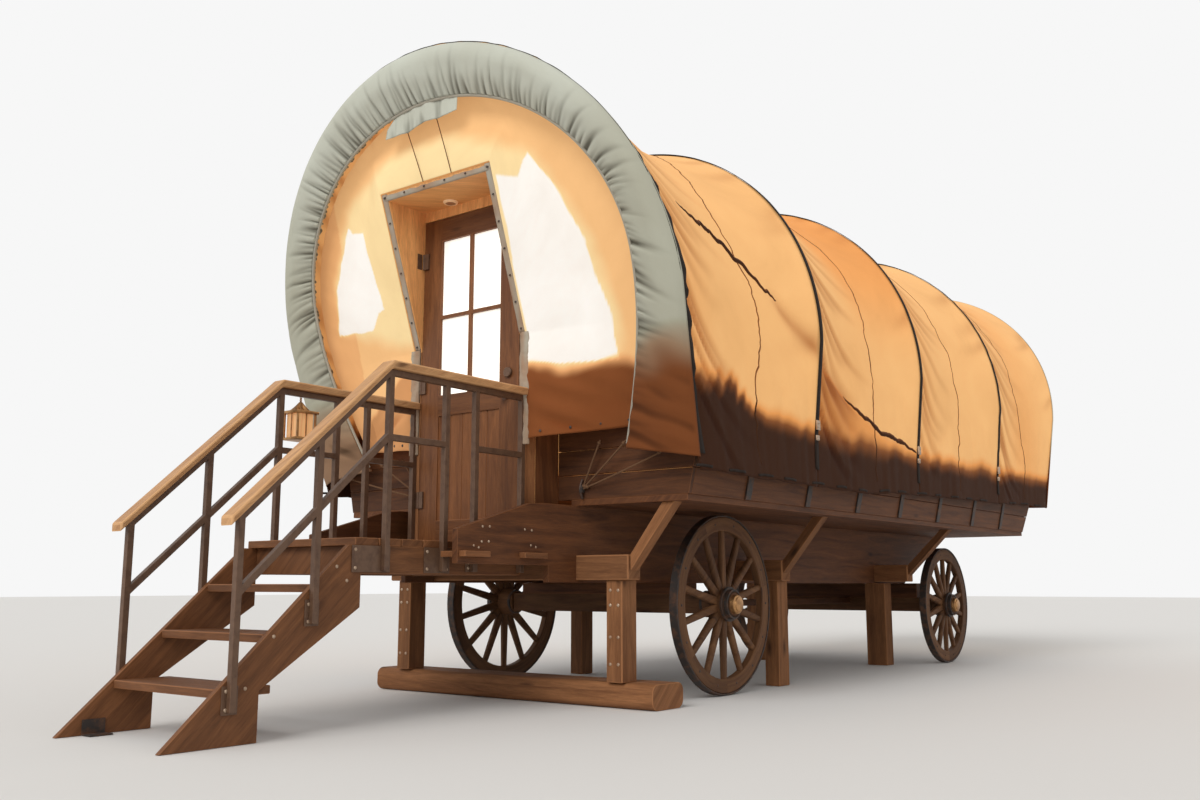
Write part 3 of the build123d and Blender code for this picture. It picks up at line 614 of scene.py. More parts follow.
timberWork = {  # node: finish, width of the eased edge
    "aisle_floor": ("box_wood", 0.003), "bed_front_board": ("box_wood", 0.003),
    "bed_sides": ("box_wood", 0.004), "bows": ("post_wood", 0.005),
    "box_front_wall": ("box_wood", 0.003), "box_platform": ("box_wood", 0.003),
    "box_rear_walls": ("box_wood", 0.003), "box_sides": ("box_wood", 0.003),
    "box_stakes": ("iron", 0.002), "cross_beams": ("post_wood", 0.008),
    "deck_boards": ("stair_wood", 0.004), "deck_frame": ("stair_wood", 0.003),
    "deck_outriggers": ("stair_wood", 0.003), "front_bolster": ("box_wood", 0.005),
    "rear_bolster": ("box_wood", 0.005), "ground_sleeper": ("post_wood", 0.004),
    "handrail_left": ("handrail_wood", 0.009), "handrail_right": ("handrail_wood", 0.009),
    "housing_posts": ("post_wood", 0.004), "knee_braces": ("post_wood", 0.004),
    "rail_frame_left": ("dark_steel", 0.0025), "rail_frame_right": ("dark_steel", 0.0025),
    "reach_pole": ("box_wood", 0.004), "stair_stringers": ("stair_wood", 0.003),
    "stair_treads": ("stair_wood", 0.005), "support_posts": ("post_wood", 0.006),
    "post_brackets": ("dark_steel", 0.001), "jamb_hinges": ("dark_steel", 0.0006),
    "stair_feet": ("iron", 0.001), "rear_axle": ("wheel_wood", 0.0), "front_axle": ("wheel_wood", 0.0),
}


def makeTimberWork():
    for name, (finish, width) in timberWork.items():
        dressNode(name, finish, width)
    dressHousing()
    dressDoor()
    dressNode("door_hardware", "dark_steel", 0.0, "door")
    for name, finish in (("door_glass", "clear_glass"), ("soffit_light", "soffit_lamp")):
        nodes[name].data.materials.clear()
        nodes[name].data.materials.append(finishes[finish])
    print("timber work dressed")


# bolt heads

boltWork = {
    "radius": 0.009, "inset": 0.021, "bracketFace": 0.438, "stringerFace": 0.432,
    "wingFace": 0.600, "wingSize": 0.8, "postSize": 1.1, "jambSize": 0.5,
    "brackets": ((-1.213, -0.972, 0.737, 0.867), (-0.741, -0.560, 0.736, 0.867),
                 (-0.440, -0.348, 0.745, 0.815), (-1.477, -1.397, 0.490, 0.610),
                 (-1.890, -1.810, 0.130, 0.250)),
    "wings": ((-0.483, 0.980), (-0.429, 0.982), (-0.488, 0.901), (-0.435, 0.903), (-0.547, 0.879),
              (-0.510, 0.869), (-0.150, 0.977), (-0.092, 0.974), (-0.099, 0.891), (-0.057, 0.882)),
    "stringers": ((-1.298, 0.763), (-1.235, 0.697), (-1.410, 0.665), (-1.636, 0.450), (-1.772, 0.234)),
    "postFaces": ((0.83, 0.32), (0.885, 0.32)), "postHeights": (0.647, 0.564, 0.388, 0.24),
    "jamb": 0.44, "jambHeights": (1.0, 1.25, 1.52, 1.8, 2.04),
}


def makeBolts():
    bm = bmesh.new()
    inset, radius = boltWork["inset"], boltWork["radius"]
    corners = [(y, z) for y0, y1, z0, z1 in boltWork["brackets"]
               for y in (y0 + inset, y1 - inset) for z in (z0 + inset, z1 - inset)]
    sideFaces = ((boltWork["bracketFace"], corners, 1.0),
                 (boltWork["wingFace"], boltWork["wings"], boltWork["wingSize"]),
                 (boltWork["stringerFace"], boltWork["stringers"], 1.0))
    for side in (1, -1):
        for x, places, size in sideFaces:
            for y, z in places:
                roundHead(bm, (side * x, y + doorFace, z), (side, 0, 0), radius * size)
        for x, y in boltWork["postFaces"]:
            for z in boltWork["postHeights"]:
                roundHead(bm, (side * x, y + doorFace, z), (0, -1, 0), radius * boltWork["postSize"])
        for z in boltWork["jambHeights"]:
            roundHead(bm, (side * boltWork["jamb"], doorFace, z), (0, -1, 0), radius * boltWork["jambSize"])
    finishPiece(bm, "bolt_heads", "zinc", materialSlot="iron")
    print("bolts made")


# canvas cover: hoops are its high lines and it sags between them

coverShape = {
    # y at the sill, lean, half width, rise, spring height and half width at the foot of each hoop
    "hoops": ((0.165, -0.294, 1.600, 1.535, 2.260, 1.520), (1.560, 0, 1.570, 1.570, 2.200, 1.512),
              (3.200, 0, 1.570, 1.570, 2.200, 1.512), (4.980, 0, 1.570, 1.570, 2.200, 1.512),
              (6.249, 0.25, 1.600, 1.535, 2.260, 1.550)),
    "sags": (0.18, 0.15, 0.12, 0.08), "sideSag": 0.55, "sill": 1.4, "boxRim": 1.6, "spring": 2.2,
    "skirt": 0.30, "slope": 0.66, "arc": 2.45, "columns": 56, "rows": 440, "thick": 0.003,
    "hems": ((0, 1.283), (2.3, 1.285), (2.6, 1.312), (3.5, 1.34), (4.8, 1.37), (5.7, 1.395), (6.3, 1.40)),
    "meanHem": 1.30, "hemWave": (0.006, 2.2, 3.1, 0), "lacePull": 0.008, "hemSway": (0.012, 2.6, 2.5, 0),
    # waves of the cloth off its smooth form, and how soon they grow from a hoop
    "puckers": (0.010, 1, 16, 0), "drapes": (0.007, 9, 1.3, 0), "drapeReach": 0.75, "fromHoop": 4,
    # painted shade of the folds' hollows and its most, and the half step that finds which way a band runs
    "shade": 62, "darkest": 0.75, "probe": 0.002,
}
halfGirth = coverShape["skirt"] + coverShape["slope"] + coverShape["arc"]
foldShape = {
    # folds that fan from a bay's rear hoop, and a few that run back from its front hoop
    "seed": 40, "count": 17, "start": 0.085, "span": 0.40, "jitter": 0.35, "reach": (0.30, 0.62),
    "fall": (0.05, 0.15), "sag": (0.010, 0.012), "wide": (0.034, 0.060), "deep": (0.007, 0.019),
    "deeper": (0.65, 0.5), "backCount": 5, "backStart": (0.12, 0.46), "backReach": (0.62, 0.8),
    "backFall": 0.02, "backSag": 0.004, "backWide": (0.05, 0.08), "backDeep": (0.003, 0.006),
    # how a fold fades along its line, where it ends across it, and the swell above its hollow
    "fadeIn": (7, 0.15), "fadeOut": 1.15, "across": 3.5, "swell": 0.9, "swellOff": 1.2,
    "valleyWide": 0.07, "valleyDeep": 0.018, "valleyPaintedShade": 0.009, "valleyBelow": 0.5, "valleyEnds": 4,
}
seamLines = (  # way round from the right hem, share of the bay from its rear hoop
    ((0.01, 0.49), (0.059, 0.496), (0.088, 0.538), (0.117, 0.597), (0.144, 0.597), (0.178, 0.588),
     (0.201, 0.546), (0.227, 0.538), (0.259, 0.538), (0.317, 0.605), (0.412, 0.773), (0.5, 0.80)),
    ((0.01, 0.54), (0.045, 0.546), (0.119, 0.563), (0.169, 0.546), (0.214, 0.571), (0.262, 0.588),
     (0.297, 0.555), (0.33, 0.412), (0.5, 0.35)),
    ((0.01, 0.49), (0.05, 0.496), (0.13, 0.529), (0.162, 0.504), (0.197, 0.529), (0.223, 0.471),
     (0.261, 0.487), (0.5, 0.45)),
    ((0.01, 0.53), (0.066, 0.529), (0.113, 0.437), (0.173, 0.353), (0.214, 0.353), (0.257, 0.261),
     (0.5, 0.24)),
)
tuckLines = {  # bay: share of the bay and way round of a sharp tuck on the right side
    0: ((0.21, 0.223), (0.319, 0.219), (0.395, 0.217), (0.513, 0.203), (0.58, 0.194), (0.647, 0.18),
        (0.765, 0.168)),
    1: ((0.28, 0.095), (0.378, 0.083), (0.513, 0.073), (0.605, 0.065), (0.706, 0.063), (0.857, 0.058),
        (0.99, 0.050)),
}
softValleys = {  # the wide hollow that carries on from each tuck
    0: ((0.70, 0.176), (0.84, 0.153), (0.924, 0.144), (1.0, 0.136)),
    1: ((0.0, 0.122), (0.16, 0.108), (0.277, 0.095), (0.40, 0.082)),
}
glowShape = {
    # painted lamplight from inside: height of the lit edge over the box's rim, and its waves: height, scale,
    # slant and seed
    "edge": ((0.05, 1.80), (0.5, 1.80), (0.8, 1.70), (1.1, 1.665), (1.6, 1.62), (3.2, 1.62),
             (4.9, 1.645), (6.3, 1.67)),
    "drop": 0.02, "waves": ((0.055, 2.7, 0, 2), (0.03, 6.5, 3, 5)), "fringe": (15, 8, 7),
    "fringeHeight": (0.008, 0.05), "fringeRange": (1.3, 0.5),
    "soft": 0.09, "softWave": (0.05, 1.9, 3, 0), "softAbove": 1.2, "cloud": (0.05, 1.1, 1.2),
    # painted shade over part of each bay: how dark, then weights of along and way round, and a range of their
    # sum
    "deeper": ((0.10, ((1, 0, 0.32, 0.0), (0, 1, 0.30, 0.10))),
               (0.28, ((1, 1.1, 0.50, 0.86), (0, 1, 0.13, 0.27))),
               (0.08, ((1, 0, 0.4, 0.0),)),
               (0.12, ((1, 0, 0.1, 0.5), (1, 0, 0.95, 0.5)))),
    "underTuckShade": 0.42, "underEdge": (-0.004, 0.006), "underFade": 0.5, "underRange": (0.1, 0.8),
}


def hoopPlane(number, z):
    y, lean = coverShape["hoops"][number][:2]
    return doorFace + y + lean * (z - coverShape["sill"])


def hemHeight(y):
    y -= doorFace
    pull = coverShape["lacePull"] * abs(math.sin(y * math.pi / laceShape["pitch"]))
    return between(y, coverShape["hems"]) + ripple(coverShape["hemWave"], y) - pull


def bayFolds(bay):
    # folds fan from the bay's rear hoop, forward and down, and die out by its middle
    dice = random.Random(foldShape["seed"] + bay)
    first, span, jitter, count = [foldShape[key] for key in ("start", "span", "jitter", "count")]
    (fall, lowFall), (sag, lowSag), (deep, lowDeep) = [foldShape[key] for key in ("fall", "sag", "deeper")]
    folds = []
    for side in (1, -1):
        for number in range(count):
            start = first + span * (number + dice.uniform(-jitter, jitter)) / (count - 1)
            low = 1 - (start - first) / span
            reach = dice.uniform(*foldShape["reach"])
            folds.append({
                "side": side, "from": (0.0, start), "to": (reach, start - reach * (fall + lowFall * low)),
                "sag": sag + lowSag * low, "wide": dice.uniform(*foldShape["wide"]),
                "deep": dice.uniform(*foldShape["deep"]) * (deep + lowDeep * low)})
        for number in range(foldShape["backCount"]):
            start = dice.uniform(*foldShape["backStart"])
            folds.append({
                "side": side, "from": (1.0, start),
                "to": (dice.uniform(*foldShape["backReach"]), start - foldShape["backFall"]),
                "sag": foldShape["backSag"], "wide": dice.uniform(*foldShape["backWide"]),
                "deep": dice.uniform(*foldShape["backDeep"])})
    return folds


allFolds = [bayFolds(bay) for bay in range(4)]


def foldDepth(bay, along, way):
    # height of the folds there, positive outwards, and the painted shade in their hollows
    height, paintedShade = 0.0, 0.0
    steep, begin = foldShape["fadeIn"]
    side, way = (1, way) if way <= 0.5 else (-1, 1 - way)
    for fold in allFolds[bay]:
        if fold["side"] != side:
            continue
        (startAlong, startWay), (endAlong, endWay) = fold["from"], fold["to"]
        share = (along - startAlong) / (endAlong - startAlong)
        if not 0 <= share < 1:
            continue
        line = startWay + (endWay - startWay) * share - fold["sag"] * 4 * share * (1 - share)
        off = (way - line) * 2 * halfGirth / fold["wide"]
        if abs(off) > foldShape["across"]:
            continue
        fade = min(1, share * steep + begin) * (1 - share) ** foldShape["fadeOut"]
        dent = math.exp(-off * off)
        swell = foldShape["swell"] * math.exp(-(off - foldShape["swellOff"]) ** 2)
        height += fold["deep"] * fade * (swell - dent)
        paintedShade += fold["deep"] * fade * dent
    if bay in softValleys and side == 1:
        table = softValleys[bay]
        share = (along - table[0][0]) / (table[-1][0] - table[0][0])
        if 0 < share < 1:
            off = (way - between(along, table)) * 2 * halfGirth / foldShape["valleyWide"]
            ends = foldShape["valleyEnds"]
            fade = min(1, ends * share) * min(1, ends * (1 - share) + (bay == 0))
            height -= foldShape["valleyDeep"] * fade * math.exp(-off * off)
            paintedShade += foldShape["valleyPaintedShade"] * fade * math.exp(-(off + foldShape["valleyBelow"]) ** 2)
    return height, paintedShade


def coverPlace(bay, along, way, lift=0.0):
    # a point of the cover, the direction it faces there, and the painted shade of its fold
    first, second = coverShape["hoops"][bay], coverShape["hoops"][bay + 1]
    y, lean, half, rise, spring, foot = [a + (b - a) * along for a, b in zip(first, second)]
    slack = 4 * along * (1 - along)
    sag, sideSag = slack * coverShape["sags"][bay], coverShape["sideSag"]
    skirt, slope, arc, rim = [coverShape[key] for key in ("skirt", "slope", "arc", "boxRim")]
    side = 1 if way <= 0.5 else -1
    run = min(way, 1 - way) * 2 * halfGirth
    height, paintedShade = foldDepth(bay, along, way)
    edge = min(1.0, slack * coverShape["fromHoop"])
    low = smooth(run, skirt + coverShape["drapeReach"], skirt)
    height += edge * ripple(coverShape["puckers"], along * 3 + bay, way, bay * 5.0)
    height += edge * low * ripple(coverShape["drapes"], y + along, run, side)
    lift += height
    out = Vector((1, 0, 0))
    if run < skirt:
        hem = hemHeight(y + doorFace)
        z = hem + (rim - hem) * run / skirt
        x = foot + ripple(coverShape["hemSway"], y, z, side) * (1 - run / skirt) * edge
    elif run < skirt + slope:
        share = (run - skirt) / slope
        x, z = foot + (half - sag * sideSag - foot) * share, rim + (spring - rim) * share
    else:
        turn = (run - skirt - slope) / arc * math.pi / 2
        less = sag * (sideSag + (1 - sideSag) * math.sin(turn))
        x, z = (half - less) * math.cos(turn), spring + (rise - less) * math.sin(turn)
        out = Vector((math.cos(turn), 0, math.sin(turn)))
    x, z = x + out.x * lift, z + out.z * lift
    return Vector((side * x, doorFace + y + lean * (z - coverShape["sill"]), z)), \
        Vector((side * out.x, 0, out.z)), paintedShade


def coverGlow(bay, along, way, point):
    # painted lamplight where the lamps inside shine through: none below the box's rim, which is painted dark,
    # and painted shade over part of each bay, deepest in the second bay
    y = point.y - doorFace

    def wave(height, across, slant, seed):
        return height * noise.noise((y * across - point.z * slant, seed, 0))
    fringe, more = glowShape["fringeHeight"]
    ragged = sum(wave(*layer) for layer in glowShape["waves"])
    ragged += wave(fringe + more * smooth(y, *glowShape["fringeRange"]), *glowShape["fringe"])
    edge = between(y, glowShape["edge"]) + ragged - glowShape["drop"]
    soft = glowShape["soft"] + ripple(glowShape["softWave"], y)
    lit = smooth(point.z, edge - soft, edge + soft * glowShape["softAbove"])
    near = min(way, 1 - way)
    cloud, cloudAlong, cloudUp = glowShape["cloud"]
    deep = cloud * noise.noise((y * cloudAlong, point.x, point.z * cloudUp))
    dark, ranges = glowShape["deeper"][bay]
    for alongWeight, nearWeight, low, high in ranges:
        dark *= smooth(along * alongWeight + near * nearWeight, low, high)
    deep += dark
    # painted shade below the second bay's tuck
    if bay == 1 and way < 0.5:
        table = tuckLines[1] if along > tuckLines[1][0][0] else softValleys[1]
        under = smooth(between(along, table) - near, *glowShape["underEdge"])
        fade = 1 - glowShape["underFade"] * smooth(along, *glowShape["underRange"])
        deep += glowShape["underTuckShade"] * under * fade
    return lit * min(1.0, max(0.0, 1 - deep))


def coverBand(bay, line, columns, rows, wide, lift, tone, size=None):
    # a strip on the cover: line(v) gives share of the bay and way round; wide, lift and tone
    # are its width, its height over the canvas and its shade and glow
    def place(u, v):
        here, out, _ = coverPlace(bay, *line(v))
        before, after = max(0, v - coverShape["probe"]), min(1, v + coverShape["probe"])
        ahead = coverPlace(bay, *line(after))[0] - coverPlace(bay, *line(before))[0]
        side = ahead.cross(out).normalized()
        return here + side * (u - 0.5) * wide(v) + out * lift(u, v), *tone(u, v)
    return clothGrid(columns, rows, size or (wide(0.5), 2 * halfGirth), place)


def makeCover():
    for bay in range(4):
        def place(u, v):
            point, _, paintedShade = coverPlace(bay, u, v)
            shade = min(coverShape["darkest"], paintedShade * coverShape["shade"])
            return point, shade, coverGlow(bay, u, v, point)
        length = hoopPlane(bay + 1, coverShape["spring"]) - hoopPlane(bay, coverShape["spring"])
        bm = clothGrid(coverShape["columns"], coverShape["rows"], (length, 2 * halfGirth), place)
        piece = finishPiece(bm, f"cover_bay_{bay + 1}", "canvas", replaced=("canvas_cover",),
                            thick=coverShape["thick"])
    print("canvas cover made")


seamShape = {
    "ends": 0.012, "columns": 3, "rows": 300, "wobbles": ((0.020, 55, 1, 0), (0.010, 150, 1, 4)),
    "wide": 0.014, "uneven": (0.007, 40, 1, 9), "lift": 0.0035, "rounded": 0.006, "thick": 0.0015,
    "shadeRange": (0.07, 0.045), "tone": 0.5, "mottle": (0.5, 25, 1, 2),
}


def makeSeams():
    grids = []
    for bay, table in enumerate(seamLines):
        def line(v):
            way = within(v, seamShape["ends"])
            wobble = sum(ripple(layer, way, bay) for layer in seamShape["wobbles"])
            return between(min(way, 1 - way), table) + wobble, way

        # painted shade: the seam turns dark where it runs over the unlit canvas near the hem
        def tone(u, v):
            shade = smooth(min(v, 1 - v), *seamShape["shadeRange"])
            return shade, seamShape["tone"] + ripple(seamShape["mottle"], v, bay)
        grids.append(coverBand(
            bay, line, seamShape["columns"], seamShape["rows"],
            lambda v: seamShape["wide"] + ripple(seamShape["uneven"], v, bay),
            lambda u, v: seamShape["lift"] - seamShape["rounded"] * abs(u - 0.5), tone))
    finishPiece(joined(grids), "cover_seams", "seam_tape", thick=seamShape["thick"], materialSlot="canvas")
    print("seams made")


tuckShape = {
    "columns": 6, "rows": 160, "thick": 0.001, "wobbles": ((0.0060, 11, 1, 1), (0.0024, 30, 1, 2)),
    "calm": 0.4, "wide": (0.010, 0.026), "taper": 0.6, "uneven": (0.5, 14, 3, 0),
    "lift": 0.011, "rise": 0.5, "crest": (0.15, 0.85), "sunk": 0.001,
    "shade": 0.9, "shadeLine": 0.62, "shadeRange": (0.42, 0.12), "glow": 0.55,
}


# a tuck is a raised lip of cloth; its dark tone and the shade across it are painted shade in the crease under
# the lip
def makeTucks():
    for bay, table in tuckLines.items():
        start, end = table[0][0], table[-1][0]

        def line(v):
            along = start + (end - start) * v
            wobble = sum(ripple(layer, v, bay) for layer in tuckShape["wobbles"])
            return along, between(along, table) + wobble * (tuckShape["calm"] if bay else 1.0)

        def wide(v):
            least, more = tuckShape["wide"]
            uneven = 1 + ripple(tuckShape["uneven"], v, seed=bay)
            return (least + more * math.sin(math.pi * v) ** tuckShape["taper"]) * uneven

        def lift(u, v):
            first, rest = tuckShape["crest"]
            high = tuckShape["lift"] * math.sin(math.pi * v) ** tuckShape["rise"]
            return high * math.sin(math.pi * (first + rest * u)) - tuckShape["sunk"]

        # painted shade along the crease under the lip
        def tone(u, v):
            shade = smooth(abs(u - tuckShape["shadeLine"]), *tuckShape["shadeRange"])
            return shade * tuckShape["shade"], tuckShape["glow"] * (1 - math.sin(math.pi * v))
        bm = coverBand(bay, line, tuckShape["columns"], tuckShape["rows"], wide, lift, tone)
        finishPiece(bm, f"cover_tuck_{bay + 1}", "seam_tape", thick=tuckShape["thick"], materialSlot="canvas")
    print("tucks made")


strapShape = {
    "wide": 0.042, "thick": 0.0035, "ends": 0.015, "columns": 2, "rows": 260, "lift": 0.006,
    "tone": 0.2, "mottle": (0.2, 30, 1, 0), "buckleHeights": (1.665, 1.66, 1.655), "buckleLift": 0.012,
    "buckles": ((0.0, 0.023, 0.031), (0.085, 0.020, 0.017)),  # drop from the first, half width, half height
    "plateHalf": 0.005, "plateEase": 0.003, "barPlace": 0.44, "barReach": 0.72, "barHalf": (0.009, 0.004),
    "barEase": 0.002,
}


def wayAt(z):
    # share of the way round where the cover's side is at height z
    rim, skirt = coverShape["boxRim"], coverShape["skirt"]
    if z < rim:
        return skirt * (z - coverShape["meanHem"]) / (rim - coverShape["meanHem"]) / 2 / halfGirth
    return (skirt + coverShape["slope"] * (z - rim) / (coverShape["spring"] - rim)) / 2 / halfGirth


def makeStraps():
    grids = []
    for hoop in range(1, 4):
        bay, along = (hoop - 1, 1.0) if hoop < 3 else (3, 0.0)
        grids.append(coverBand(
            bay, lambda v: (along, within(v, strapShape["ends"])), strapShape["columns"], strapShape["rows"],
            lambda v: strapShape["wide"], lambda u, v: strapShape["lift"],
            lambda u, v: (0.0, strapShape["tone"] + ripple(strapShape["mottle"], v, hoop))))
    finishPiece(joined(grids), "hoop_straps", "strap", replaced=("cover_straps",), thick=strapShape["thick"])
    bm = bmesh.new()
    plate, (barOut, barHigh) = strapShape["plateHalf"], strapShape["barHalf"]
    for number, height in enumerate(strapShape["buckleHeights"]):
        for side in (1, -1):
            way = wayAt(height) if side > 0 else 1 - wayAt(height)
            for drop, wide, high in strapShape["buckles"]:
                way -= side * drop / 2 / halfGirth
                matrix = Matrix.Translation(coverPlace(number, 1.0, way, strapShape["buckleLift"])[0])
                easedBox(bm, (-plate, -wide, -high), (plate, wide, high), strapShape["plateEase"], matrix)
                reach = wide * strapShape["barReach"]
                for z in (-high * strapShape["barPlace"], high * strapShape["barPlace"]):
                    low, top = (-barOut, -reach, z - barHigh), (barOut, reach, z + barHigh)
                    easedBox(bm, low, top, strapShape["barEase"], matrix)
    finishPiece(bm, "strap_buckles", "zinc", materialSlot="iron")
    print("hoop straps made")


laceShape = {
    "seed": 5, "count": 18, "first": 0.11, "pitch": 0.34, "jitter": 0.02, "length": 0.165,
    "stretch": (0.8, 1.1), "overHoop": 0.1, "way": 0.0028, "bow": 0.0008, "wide": 0.014, "lift": 0.004,
    "columns": 2, "rows": 10, "glow": 0.3, "thick": 0.003,
}


def makeHemLace():
    # a lace shows as short dark runs along the hem on both sides
    dice = random.Random(laceShape["seed"])
    hoops = [hoop[0] for hoop in coverShape["hoops"]]
    jitter, wide = laceShape["jitter"], laceShape["wide"]
    grids = []
    for side in (1, -1):
        for number in range(laceShape["count"]):
            start = laceShape["first"] + laceShape["pitch"] * number + dice.uniform(-jitter, jitter)
            length = laceShape["length"] * dice.uniform(*laceShape["stretch"])
            bay = max(b for b in range(4) if start >= hoops[b] - laceShape["overHoop"])
            reach = hoops[bay + 1] - hoops[bay]
            first = (start - hoops[bay]) / reach

            def line(v):
                way = laceShape["way"] + laceShape["bow"] * math.sin(math.pi * v)
                return min(1.0, first + length / reach * v), way if side > 0 else 1 - way
            if first + length / reach < 1.0:
                grids.append(coverBand(
                    bay, line, laceShape["columns"], laceShape["rows"], lambda v: wide,
                    lambda u, v: laceShape["lift"], lambda u, v: (0.0, laceShape["glow"]), (wide, length)))
    finishPiece(joined(grids), "hem_lace", "strap", thick=laceShape["thick"])
    print("hem lace made")


rimShadeShape = {
    "ends": 0.012, "columns": 3, "rows": 300, "wide": (0.016, 0.052), "wideRange": (0.42, 0.10),
    "bayLength": 1.38, "lift": 0.005, "tone": 0.2, "mottle": (0.3, 30, 1, 0), "cloth": 0.05, "thick": 0.002,
}


def makeRimShadeStrip():
    # a dark strip round the rear rim that paints the shade on the hood band's side wall, wider down the sides
    # than over the top
    least, more = rimShadeShape["wide"]

    def place(u, v):
        way = within(v, rimShadeShape["ends"])
        wide = least + more * smooth(min(way, 1 - way), *rimShadeShape["wideRange"])
        point = coverPlace(0, wide * u / rimShadeShape["bayLength"], way, rimShadeShape["lift"])[0]
        return point, 0.0, rimShadeShape["tone"] + ripple(rimShadeShape["mottle"], v, u)
    bm = clothGrid(rimShadeShape["columns"], rimShadeShape["rows"], (rimShadeShape["cloth"], 2 * halfGirth), place)
    finishPiece(bm, "rim_shade_strip", "strap", thick=rimShadeShape["thick"])
    print("rim edging made")


# hood bands, gathered at the mouth

hoodShape = {
    "mouthHalf": 1.315, "mouthSpring": 2.431, "mouthRise": 1.084, "mouthFoot": 1.06, "mouthHem": 1.42,
    "hem": (1.345, 1.40), "legShare": 0.14, "recess": 0.12, "columns": 620, "rows": 28, "cloth": (6.4, 0.36),
    "thick": 0.003, "seed": 7, "lapShare": 0.08, "faceShare": 0.86, "lap": 0.014, "lapRow": 0.093,
    "lapWide": 1.003, "puff": 0.055, "puffForm": (0.75, 0.8), "rollRow": 0.07, "rollBack": 0.03,
    "ripple": (0.006, 30, 3, 0), "sag": (0.010, 4, 1, 0), "sagSlant": (12, 5), "sagRange": (1.6, 1.9),
    # painted shade in the sags' hollows, and the most painted shade
    "sagShade": 0.5, "sagDark": (0.001, 0.006), "darkest": 0.85,
    # painted warm lamplight from below: the tone low on the hood, by side, and on its outermost part
    "warmWave": (0.10, 5, 5, 1), "warmFoot": {-1: 1.55, 1: 1.72}, "warmTop": 2.25,
    "warmest": {-1: 0.78, 1: 1.0}, "sideWarm": 0.25, "sideRange": (1.0, 1.5),
}
pleatShape = {
    # reach is out from the mouth, and a pleat is stronger near it and high on the hood
    "count": 150, "jitter": 0.35, "reach": (0.4, 1.15), "reachForm": 1.1, "deep": (0.005, 0.019),
    "wide": (0.008, 0.018), "slant": 0.006, "neighbours": 5, "girth": 5.4, "across": 3, "full": 1.05,
    # the shade value paints shade into the pleats' hollows
    "growth": (0.6, 0.4), "high": (1.75, 2.1), "highShare": (0.25, 0.75), "shade": 62,
}
rollShape = {
    "ends": 0.004, "steps": 120, "grow": -0.004, "back": 0.016, "wave": (0.003, 1, 1, 0), "radius": 0.009,
}


def alongRim(share):
    # leg of the rim as (side, share of the leg, None), or its turn over the top
    leg = hoodShape["legShare"]
    side = 1 if share < 0.5 else -1
    if share < leg or share > 1 - leg:
        return side, min(share, 1 - share) / leg, None
    return side, 1.0, math.pi * (share - leg) / (1 - 2 * leg)


def outerRim(end, share):
    side, part, turn = alongRim(share)
    half, rise, spring, foot = coverShape["hoops"][-end][2:]
    if turn is None:
        hem = hoodShape["hem"][end]
        return side * (foot + (half - foot) * part), hem + (spring - hem) * part
    return half * math.cos(turn), spring + rise * math.sin(turn)


def mouthRim(share, grow=0.0):
    side, part, turn = alongRim(share)
    half, rise, spring = [hoodShape[key] for key in ("mouthHalf", "mouthRise", "mouthSpring")]
    if turn is None:
        foot, hem = hoodShape["mouthFoot"], hoodShape["mouthHem"]
        reach = foot + (half - foot) * math.sin(part * math.pi / 2)
        return side * (reach + grow), hem + (spring - hem) * part
    return (half + grow) * math.cos(turn), spring + (rise + grow) * math.sin(turn)


def hoodPleats(seed):
    # place, reach out from the mouth, depth, width and slant of each pleat
    dice = random.Random(seed)
    count, jitter, slant = [pleatShape[key] for key in ("count", "jitter", "slant")]
    pleats = []
    for number in range(count):
        pleats.append((
            (number + dice.uniform(-jitter, jitter)) / count,
            dice.uniform(*pleatShape["reach"]) ** pleatShape["reachForm"],
            dice.uniform(*pleatShape["deep"]), dice.uniform(*pleatShape["wide"]),
            dice.uniform(-slant, slant)))
    return pleats


def bandPlace(end, pleats, share, across):
    # across runs from the lap behind the rim (0) over the rim to the rolled mouth edge (1)
    out = -1 if end == 0 else 1
    row = (across - hoodShape["lapShare"]) / hoodShape["faceShare"]
    xOut, zOut = outerRim(end, share)
    xIn, zIn = mouthRim(share)
    step = min(1.0, max(0.0, row))
    x, z = xOut + (xIn - xOut) * step, zOut + (zIn - zOut) * step
    bend, swell = hoodShape["puffForm"]
    forward = hoodShape["puff"] * math.sin(math.pi * step ** bend) ** swell
    dark = 0.0
    (base, growth), (lowShare, highShare) = pleatShape["growth"], pleatShape["highShare"]
    full = (base + growth * step) * (lowShare + highShare * smooth(z, *pleatShape["high"]))
    middle, near = int(share * len(pleats)), pleatShape["neighbours"]
    for place, reach, deep, wide, slant in pleats[max(0, middle - near):middle + near + 1]:
        off = (share - place - slant * (1 - step)) * pleatShape["girth"] / wide
        if abs(off) < pleatShape["across"]:
            strength = smooth(step, 1 - reach, pleatShape["full"]) * full
            dent = math.exp(-off * off)
            forward -= deep * strength * dent
            # painted shade in the pleat's hollow
            dark += deep * pleatShape["shade"] * strength * dent ** 2
    forward += ripple(hoodShape["ripple"], share, step, end) * math.sin(math.pi * step)
    up, over = hoodShape["sagSlant"]
    sag = ripple(hoodShape["sag"], x, z * up + x * over, end) * (1 - smooth(z, *hoodShape["sagRange"]))
    if row < 0:
        forward, sag = row / hoodShape["lapRow"] * hoodShape["lap"], 0
        x *= hoodShape["lapWide"]
    if row > 1:
        forward -= (row - 1) / hoodShape["rollRow"] * hoodShape["rollBack"]
    side = -1 if x < 0 else 1
    # painted warm lamplight from below, and painted shade in the sags
    cool = smooth(z + ripple(hoodShape["warmWave"], x, z), hoodShape["warmFoot"][side], hoodShape["warmTop"])
    warm = (1 - cool) * hoodShape["warmest"][side]
    dark += hoodShape["sagShade"] * smooth(-sag, *hoodShape["sagDark"])
    point = Vector((x, hoopPlane(0 if end == 0 else 4, z) + out * (forward + sag), z))
    sideWarm = hoodShape["sideWarm"] * smooth(abs(x), *hoodShape["sideRange"])
    return point, min(hoodShape["darkest"], dark), max(warm, sideWarm)


